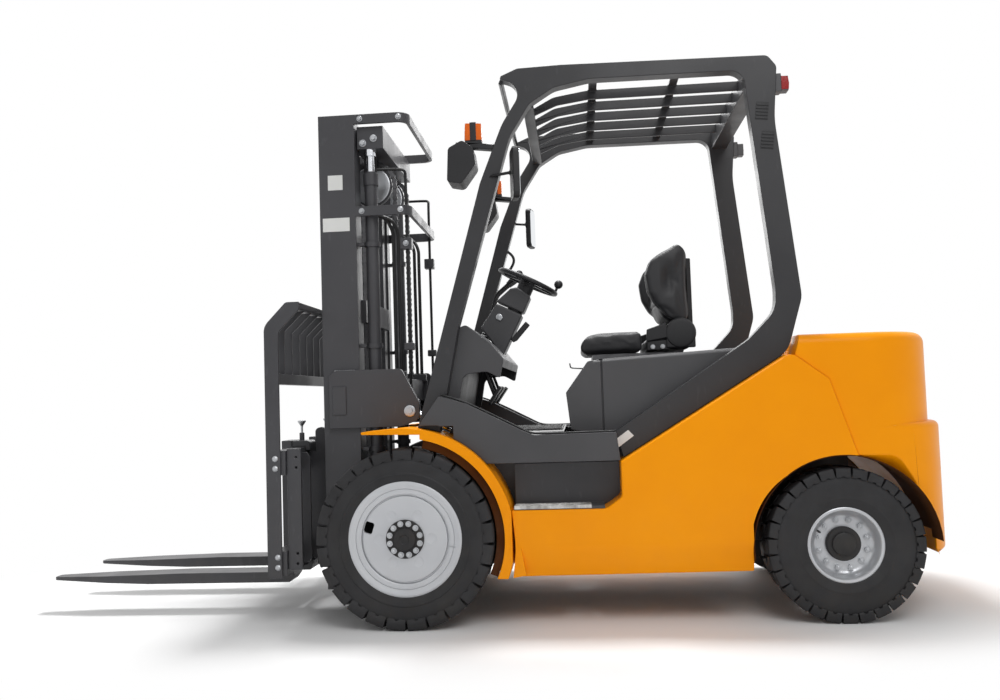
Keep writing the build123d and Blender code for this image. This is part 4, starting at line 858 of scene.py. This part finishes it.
settled(seat_back, "seat_back_pad", "hood_body", "seat_vinyl", angle=60, even=False)
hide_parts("seat_back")
print("seat pads", len(cushion.data.polygons), len(seat_back.data.polygons))

# %% [markdown]
# Hard parts carry the pads: a pressed shell behind the back, a joint cover on each side that hides the recliner,
# an arm between cushion and back, and the bolt that shows under it.

# %% Seat covers and base
shell = rounded(plan_slab([(-1211, -170), (-1190, -176), (-1190, 176), (-1211, 170)], 1120, 1483), 5, 3)
ribs = [brick(-1212.5, -1209, y - 5, y + 5, 1230, 1460, 1.2) for y in (-110, -55, 0, 55, 110)]
settled(joined(shell, *ribs), "seat_back_shell", "hood_body", "black_plastic")
cover = spun([(0, 7), (48, 7), (60, 4), (66, -3), (66, -22), (0, -22)], at(-1150, 229, 1154), OUT, 48)
foot = rounded(side_slab([(-1088, 1090), (-1212, 1090), (-1212, 1160), (-1088, 1160)], 208, 229), 6, 3)
arm = rounded(side_slab([(-1002, 1120), (-1006, 1174), (-1090, 1200), (-1100, 1136)], 210, 231), 5, 3)
socket = brick(-1100, -1006, 206, 222, 1084, 1124, 4)
joint = joined(cover, foot, arm, socket)
for one, side in ((joint, "left"), (mirrored(joint), "right")):
    settled(one, f"seat_joint_{side}", "hood_body", "black_plastic")
LOWER_BACK = [(-1004, 1086), (-1004, 1128), (-1100, 1196), (-1188, 1196), (-1188, 1086)]
lower = rounded(side_slab(LOWER_BACK, -204, 204), 12, 3)
settled(lower, "seat_lower_back", "hood_body", "seat_vinyl")


def bolts(name, body, across, spots):
    """Hexagon bolts on washers at (x, y, z) spots, facing outwards on both sides of the truck."""
    tall = across * 0.55
    head = hexagon(across, tall, 0.05, 1)
    washer = stood(across, tall, [(0, 0), (0.675, 0), (0.675, 0.16), (0.6345, 0.22), (0, 0.22)], 18)
    near = repeated(joined(head, washer), [facing(at(*spot), OUT) for spot in spots])
    return settled(both_sides(near), name, body, "bare_steel")


bolts("seat_bolts", "hood_body", 15, [(-1072, 222, 1098), (-1030, 222, 1098)])


def pipe(points, diameter):
    """A rigid pipe or rod along a smooth line through points in millimetres, closed at both ends."""
    data = bpy.data.curves.new("pipe", "CURVE")
    data.dimensions = "3D"
    data.bevel_depth = diameter / 2000
    data.bevel_resolution = 3
    data.resolution_u = 6
    data.use_fill_caps = True
    line = data.splines.new("NURBS")
    line.points.add(len(points) - 1)
    for point, spot in zip(line.points, points):
        point.co = (*at(*spot), 1)
    line.order_u = 3
    line.use_endpoint_u = True
    tube = bpy.data.objects.new("pipe", data)
    bpy.context.scene.collection.objects.link(tube)
    only(tube)
    bpy.ops.object.convert(target="MESH")
    tube = bpy.context.object
    bpy.ops.object.mode_set(mode="EDIT")
    bpy.ops.mesh.select_all(action="SELECT")
    bpy.ops.mesh.remove_doubles(threshold=0.00001)
    bpy.ops.mesh.normals_make_consistent(inside=False)
    bpy.ops.object.mode_set(mode="OBJECT")
    return tube


latch = pipe([(-735, 150, 1016), (-700, 150, 1019), (-676, 150, 1021), (-671, 150, 1028), (-670, 150, 1042)], 6)
settled(latch, "hood_latch_wire", "hood_body", "black_plastic")
print("seat joint faces", len(joint.data.polygons))

# %% [markdown]
# The driver's place: the column wears a two-part plastic cover with a key switch and a paddle for its tilt, the
# hydraulic levers have thick grips and rubber boots, a grab handle sits on the far post, a black seal runs along
# the edge of each side trim, and a ribbed mat lies on the floor.

# %% Column, levers, handle, seals and mat
lower_cover = rounded(side_slab([(-345, 1332), (-462, 1274), (-366, 1085), (-270, 1222)], -56, 56), 9, 3)
upper_cover = rounded(side_slab([(-440, 1404), (-502, 1358), (-466, 1281), (-343, 1341), (-410, 1398)], -52, 52), 9, 3)
settled(joined(lower_cover, upper_cover), "column_cover", "chassis", "black_plastic", charcoal_plastic)
key_ring = spun([(0, 0), (15, 0), (15, 5), (12, 7), (0, 7)], at(-356, 55.5, 1268), OUT, 24)
key = rounded(side_slab([(-349, 1261), (-363, 1275), (-374, 1264), (-360, 1250)], 62, 66), 1.2)
settled(joined(key_ring, key), "key_switch", "chassis", "bare_steel")
paddle = rounded(side_slab([(-404, 1164), (-416, 1150), (-434, 1158), (-495, 1226), (-476, 1244)], 40, 54), 4, 3)
settled(paddle, "tilt_paddle", "chassis", "black_plastic")
GRIP_LINE = [(0, -78), (9, -76), (13, -48), (15, -14), (13, 6), (7, 16), (0, 18)]
BOOT_LINE = [(0, -4), (25, -4), (24, 6), (16, 12), (18, 18), (12, 24), (13, 30), (8, 44), (0, 44)]
LEVER_TOP, LEVER_FOOT = Vector((-115, 0, 95)).normalized(), Vector((-0.3, 0, 0.954))
grips = []
for y in (-175, -220, -265):
    grips += [spun(GRIP_LINE, at(-440, y, 1495), LEVER_TOP, 24), spun(BOOT_LINE, at(-262, y, 1194), LEVER_FOOT, 24)]
settled(joined(*grips), "lever_grips", "chassis", "black_plastic")
handle = pipe([(-338, -492, 1678), (-352, -492, 1668), (-398, -492, 1628), (-392, -492, 1584), (-368, -492, 1556)], 14)
settled(handle, "grab_handle", "chassis", "black_plastic")
seal = pipe([(-152, 556, 921), (-200, 556, 905), (-258, 556, 884), (-370, 556, 828), (-476, 556, 772), (-500, 556, 760),
             (-540, 556, 753), (-690, 556, 754), (-842, 556, 755)], 9)
settled(both_sides(seal), "trim_seals", "chassis", "black_plastic", hose_rubber)
mat_plate = brick(-630, -215, -280, 280, 756.3, 760.5, 1)
mat_rib = brick(-625, -220, -3, 3, 760, 763, 0.8)
mat_rib = repeated(mat_rib, [Matrix.Translation((0, y / 1000, 0)) for y in range(-264, 265, 24)])
settled(joined(mat_plate, mat_rib), "floor_mat", "chassis", "black_plastic", hose_rubber)
step_plate = brick(-738, -436, 500, 583, 470.2, 473, 0.8)
stud = spun([(0, 1.8), (3, 1.6), (7, 0), (0, 0)], Vector(), UP, 6)
spots = [(x + (8 if row % 2 else 0), 512 + 14 * row) for row in range(5) for x in range(-724, -446, 17)]
studs = repeated(stud, [Matrix.Translation(at(x, y, 473)) @ Matrix.Rotation(0.8, 4, "Z") for x, y in spots])
nosing = brick(-738, -436, 583.2, 587, 461, 474.5, 1)
settled(both_sides(joined(step_plate, studs, nosing)), "step_treads", "chassis", "bare_steel", tread_alloy)
print("tread studs", 2 * len(spots))

# %% [markdown]
# A leaf chain is stacks of waisted plates on pins. Two link patterns, one with three plates and one with two, are
# modelled at the origin along Z and copied in turn along the chain's path: up the front run, over the sheave and
# down the rear run to the anchor.

# %% Lift chains
CHAIN_PITCH = 25.4
SHEAVE = (200, 1880)
CHAIN_RADIUS = 106.3
CHAIN_LOW, CHAIN_ANCHOR = 252, 1002


def plate_link(offsets, thick):
    """Link plates at some offsets across the chain, with the pin through their lower end."""
    half, waist = CHAIN_PITCH / 2, 7.5
    shape = [(-6, -half - 8), (6, -half - 8), (10.6, -half), (waist, 0), (10.6, half), (6, half + 8), (-6, half + 8),
             (-10.6, half), (-waist, 0), (-10.6, -half)]
    edges = [[Vector((a, y - thick / 2, b)) / 1000 for a, b in shape] for y in offsets]
    plates = [slab(edge, OUT * (thick / 1000)) for edge in edges]
    pin = spun([(0, -11.8), (4.5, -11.8), (4.5, 11.8), (0, 11.8)], Vector((0, 0, -half / 1000)), OUT, 8)
    return joined(*plates, pin)


def chain_places():
    """The places of the links along the chain, as matrices in the truck's middle plane."""
    front, arc = SHEAVE[1] - CHAIN_LOW, math.pi * CHAIN_RADIUS
    total = front + arc + SHEAVE[1] - CHAIN_ANCHOR
    count = int((total - 20) // CHAIN_PITCH)
    places = []
    for i in range(count):
        run = 14 + CHAIN_PITCH * (i + 0.5)
        if run < front:
            x, z, turn = SHEAVE[0] + CHAIN_RADIUS, CHAIN_LOW + run, 0.0
        elif run < front + arc:
            turn = (run - front) / CHAIN_RADIUS
            x, z = SHEAVE[0] + CHAIN_RADIUS * math.cos(turn), SHEAVE[1] + CHAIN_RADIUS * math.sin(turn)
        else:
            x, z, turn = SHEAVE[0] - CHAIN_RADIUS, SHEAVE[1] - (run - front - arc), math.pi
        places.append(Matrix.Translation(at(x, 140, z)) @ Matrix.Rotation(-turn, 4, "Y"))
    return places


places = chain_places()
wide_links = repeated(plate_link((-9.8, 0, 9.8), 3), places[0::2])
narrow_links = repeated(plate_link((-5, 5), 3.4), places[1::2])
chain = both_sides(joined(wide_links, narrow_links))
settled(chain, "mast_chain_links", "inner_mast_body", "bare_steel", dark_steel, even=False)
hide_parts("mast_chains")
print("chain links", 2 * len(places), "faces", len(chain.data.polygons))

# %% [markdown]
# The mast carries the hydraulic lines as rigid pipes, one behind each rail, with a fitting block half way up and
# short hoses at the cylinders. Clamp rings hold each lift cylinder to its rail. The bracket plate has a raised
# cover, a slot and a weld bead, and two blank plates stand where the photograph shows printed ones.

# %% Mast lines, clamps, covers and plates
LIFT_LINE = [(14, 300, 925), (14, 300, 1200), (14, 300, 1600), (14, 300, 1880), (14, 310, 1900), (34, 320, 1908),
             (134, 324, 1908)]
lines = [pipe(LIFT_LINE, 13)]
for x in (62, 84):
    lines.append(pipe([(x, 252, 996), (x, 252, 1300), (x, 252, 1600), (x, 256, 1650), (x + 30, 272, 1690 + x / 4),
                       (150, 284, 1700 + x / 4)], 16))
settled(both_sides(*lines), "mast_lines", "outer_mast_body", "black_plastic", hose_rubber)
BLOCKS = [(-8, 40, 280, 322, 1556, 1606), (-6, 36, 284, 318, 1118, 1150), (40, 104, 236, 268, 994, 1030)]
CLAMP_LINE = [(28.3, -10), (35, -10), (35, 10), (28.3, 10), (28.3, -10)]
fittings = [brick(*corners, 4) for corners in BLOCKS]
for z in (1585, 1143, 700):
    fittings += [spun(CLAMP_LINE, at(170, 290, z), UP, 40), brick(198, 228, 300, 326, z - 8, z + 8, 2)]
settled(both_sides(*fittings), "mast_fittings", "outer_mast_body", "dark_paint")
cover = brick(280, 338, 373.5, 381, 849, 969, 3.5)
settled(both_sides(cover), "bracket_covers", "outer_mast_body", "dark_paint")
BEAD_LINE, BEAD_LEAN = [(0, 4), (3, 3), (5, 0), (0, 0)], Vector((0, 0.5, 0.866))
weld = [spun(BEAD_LINE, at(250 + 9 * i, 352, 1036.5), BEAD_LEAN, 8) for i in range(10)]
settled(both_sides(*weld), "bracket_weld", "outer_mast_body", "bare_steel")
washer = spun([(12.8, 0), (24, 0), (24, 4), (20, 5.5), (13, 5.5), (12.8, 0)], at(8, 374.2, 857), OUT, 32)
settled(both_sides(washer), "tilt_pin_washers", "outer_mast_body", "bare_steel")
bolts("mast_bolts", "outer_mast_body", 19,
      [(16, 322.5, 1581), (30, 350.5, 1724), (200, 350.5, 1724), (30, 350.5, 2129), (200, 350.5, 2129)])
blanks = [brick(281, 346, 349.8, 351, 1821, 1886, 0.4), brick(254, 372, 349.8, 351, 1640, 1699, 0.4)]
settled(joined(*blanks), "blank_plates", "outer_mast_body", "bare_steel", white_enamel)
FACE_LINE = [(28, 12.1), (82, 12.1), (86, 13.5), (80, 16), (60, 14), (34, 17), (28, 16), (28, 12.1)]
faces = [spun(FACE_LINE, at(200, y, 1880), OUT * side, 56) for y in (-140, 140) for side in (-1, 1)]
settled(joined(*faces), "sheave_faces", "inner_mast_body", "bare_steel")
bolts("crosshead_bolts", "inner_mast_body", 24, [(148, 318.5, 2050), (196, 318.5, 2030)])
print("mast pipes", 2 * len(lines), "weld beads", 2 * len(weld))

# %% [markdown]
# The load backrest's slats are deep flat bars, set edge on to the load, so from the side they close up like a
# blind. The fork carriage shows round-headed bolts on its side plates, end plates with holes, and a spring latch
# on each fork.

# %% Backrest slats, carriage bolts and fork latches
SLAT_SIDE = [(531, 1029.5), (566, 1029.5), (566, 1222), (486, 1293.5), (442, 1293.5), (531, 1208)]
slat = rounded(side_slab(SLAT_SIDE, -5, 5), 1.5)
slats = repeated(slat, [Matrix.Translation((0, (-520.3 + 104.06 * i) / 1000, 0)) for i in range(1, 10)])
settled(slats, "backrest_bars", "carriage_body", "dark_paint")
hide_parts("backrest_slats")
domes = [spun([(0, 7), (7, 6), (11.5, 3), (13, 0), (0, 0)], at(x, 532.2, z), OUT, 28)
         for x, z in ((541, 680), (541, 640), (536, 281), (536, 240))]
settled(both_sides(*domes), "side_plate_bolts", "carriage_body", "bare_steel")
end_plate = brick(442, 501, 490, 506, 226, 718, 3)
for z in (252, 293, 642, 683):
    end_plate = cut(end_plate, spun([(0, -20), (6, -20), (6, 20), (0, 20)], at(462, 506, z), OUT, 20))
settled(both_sides(end_plate), "carriage_end_plates", "carriage_body", "dark_paint")
LATCH_LINE = [(0, 774), (5, 774), (5, 800), (7, 806), (18, 822), (18, 827), (12, 828), (0, 816)]
for side, name in ((1, "left"), (-1, "right")):
    latch = spun(LATCH_LINE, at(531, side * 200, 0), UP, 24)
    settled(latch, f"fork_latch_{name}", f"fork_body_{name}", "bare_steel")
print("backrest faces", len(slats.data.polygons))

# %% [markdown]
# Lamps: each front lamp has a clear ribbed lens in its pocket, with an amber indicator above that wears a dark band.
# The tail lamps are small red lenses. The mirrors' faces are silvered and lie on the side that the driver sees.

# %% Lenses and mirror faces
AMBER_SIDE = [(-275, 1958), (-276, 1990), (-279, 2031), (-345, 2027), (-346, 1958)]
BAND_SIDE = [(-298, 1956), (-298, 2033), (-324, 2033), (-324, 1956)]
RED_SIDE = [(-1545, 2092), (-1586, 2094), (-1588, 2120), (-1584, 2149), (-1545, 2151)]
GLASS_FRONT = [(-43, -96), (43, -96), (43, 96), (-43, 96)]
for side, name in ((1, "left"), (-1, "right")):
    y = side * 493
    pane = rounded(plan_slab([(-219, y - 46), (-212, y - 46), (-212, y + 46), (-219, y + 46)], 1798, 1912), 2.5)
    settled(pane, f"lamp_pane_{name}", "chassis", "lamp_lens", clear_lens)
    amber = rounded(side_slab(AMBER_SIDE, y - 21.5, y + 21.5), 3)
    settled(amber, f"indicator_{name}", "chassis", "lamp_lens", amber_lens)
    band = rounded(side_slab(BAND_SIDE, y - 23, y + 23), 2)
    settled(band, f"indicator_band_{name}", "chassis", "black_plastic")
    red = rounded(side_slab(RED_SIDE, side * 472, side * 508), 4, 3)
    settled(red, f"tail_lens_{name}", "chassis", "lamp_lens", red_lens)
    turn = Matrix.Translation(at(-482, side * 592, 1790)) @ Matrix.Rotation(math.radians(side * 12), 4, "Z")
    face = slab([Vector((-13.4, a, b)) / 1000 for a, b in GLASS_FRONT], Vector((-0.0016, 0, 0)))
    only(face)
    bpy.ops.object.mode_set(mode="EDIT")
    bpy.ops.mesh.select_mode(type="EDGE")
    bpy.ops.mesh.select_all(action="DESELECT")
    mesh = bmesh.from_edit_mesh(face.data)
    for edge in mesh.edges:
        edge.select_set(abs(edge.verts[0].co.x - edge.verts[1].co.x) > 0.001)
    bmesh.update_edit_mesh(face.data)
    bpy.ops.mesh.bevel(offset=0.02, segments=5, affect="EDGES")
    bpy.ops.object.mode_set(mode="OBJECT")
    face.data.transform(turn)
    settled(face, f"mirror_glass_{name}", "chassis", "mirror_face", mirror_glass)
    print(name, "mirror faces", len(face.data.polygons))

# %% [markdown]
# The guard's rear posts have two groups of vent slots, and a blank plate sits on its lower rail. Both are thin
# pieces laid on the post, turned to its lean.

# %% Guard vents and plate
POST_LEAN = -7
vents = []
for x, z in ((-1474, 2010), (-1490, 1891)):
    back = brick(x - 25, x + 25, 514.8, 515.8, z - 37, z + 37, 0.4)
    bars = [brick(x - 24, x + 24, 515.5, 518, z - 33 + 13.5 * i, z - 26 + 13.5 * i, 1) for i in range(5)]
    group = joined(back, *bars)
    group.data.transform(turned_about(at(x, 0, z), POST_LEAN, "Y"))
    vents.append(group)
settled(both_sides(*vents), "post_vents", "chassis", "black_plastic")
tag = rounded(side_slab([(-826, 708), (-894, 756), (-916, 733), (-845, 682)], 514.8, 516), 0.4)
settled(tag, "blank_tag", "chassis", "bare_steel", white_enamel)
print("vent groups", 2 * len(vents))

# %% [markdown]
# The wheel arches: the painted side comes down round the rear tyre as a curved lip, a brown band lines the arch,
# and a narrow liner closes the gap between the front tyre and its fender. Band and liner are brown as painted
# shade: the orange paint darkened as the inside of an arch looks in shadow. A black lid stands on the counterweight.

# %% Arch lips, liners and lid
REAR_ARCH, FRONT_ARCH = (-1700, 290), (0, FRONT_HUB.z * 1000)


def arc(centre, radius, first, last, count=30):
    """Points of a circle in the side view, from one angle to another, counted from upright towards the rear."""
    angles = [math.radians(first + (last - first) * i / count) for i in range(count + 1)]
    return [(centre[0] - radius * math.sin(a), centre[1] + radius * math.cos(a)) for a in angles]


def band(centre, inner, outer, first, last, y0, y1):
    """A curved strip between two radii."""
    return side_slab(arc(centre, outer, first, last) + arc(centre, inner, last, first), y0, y1)


turns = [i / 14 for i in range(15)]
curve = [arc(REAR_ARCH, 362 - 11.5 * t * t, -74 + 37 * t, 0, 1)[0] for t in turns]
lip = side_slab([(-1344.5, 574.5), (-1344.5, 380)] + curve + [(-1491, 574.5)], 560, 590.5)
wedge = rounded(side_slab([(-434, 463), (-475, 205), (-424, 196), (-436, 300)], 568, 589.4), 1)
settled(both_sides(joined(lip, wedge)), "arch_lips", "chassis", "body_paint")
# Painted shade: the liners wear orange paint darkened to brown, as the inside of the arches looks in shadow.
outer_shade_liner = band(REAR_ARCH, 347.6, 349.6, -97, 87, 484, 588)
rear_shade_liner = joined(outer_shade_liner, band(REAR_ARCH, 372.4, 374.4, -95, 84, 240, 484))
front_shade_liner = band(FRONT_ARCH, 363, 394.5, 12, 113, 540, 584)
settled(both_sides(joined(rear_shade_liner, front_shade_liner)), "arch_shade_liners", "chassis", "body_paint", arch_shade_brown)
lid = joined(brick(-1942, -1798, -80, 80, 1107, 1124, 6), brick(-1918, -1822, -56, 56, 1122, 1131, 5))
settled(lid, "radiator_lid", "chassis", "black_plastic")
print("arch lip faces", len(lip.data.polygons))
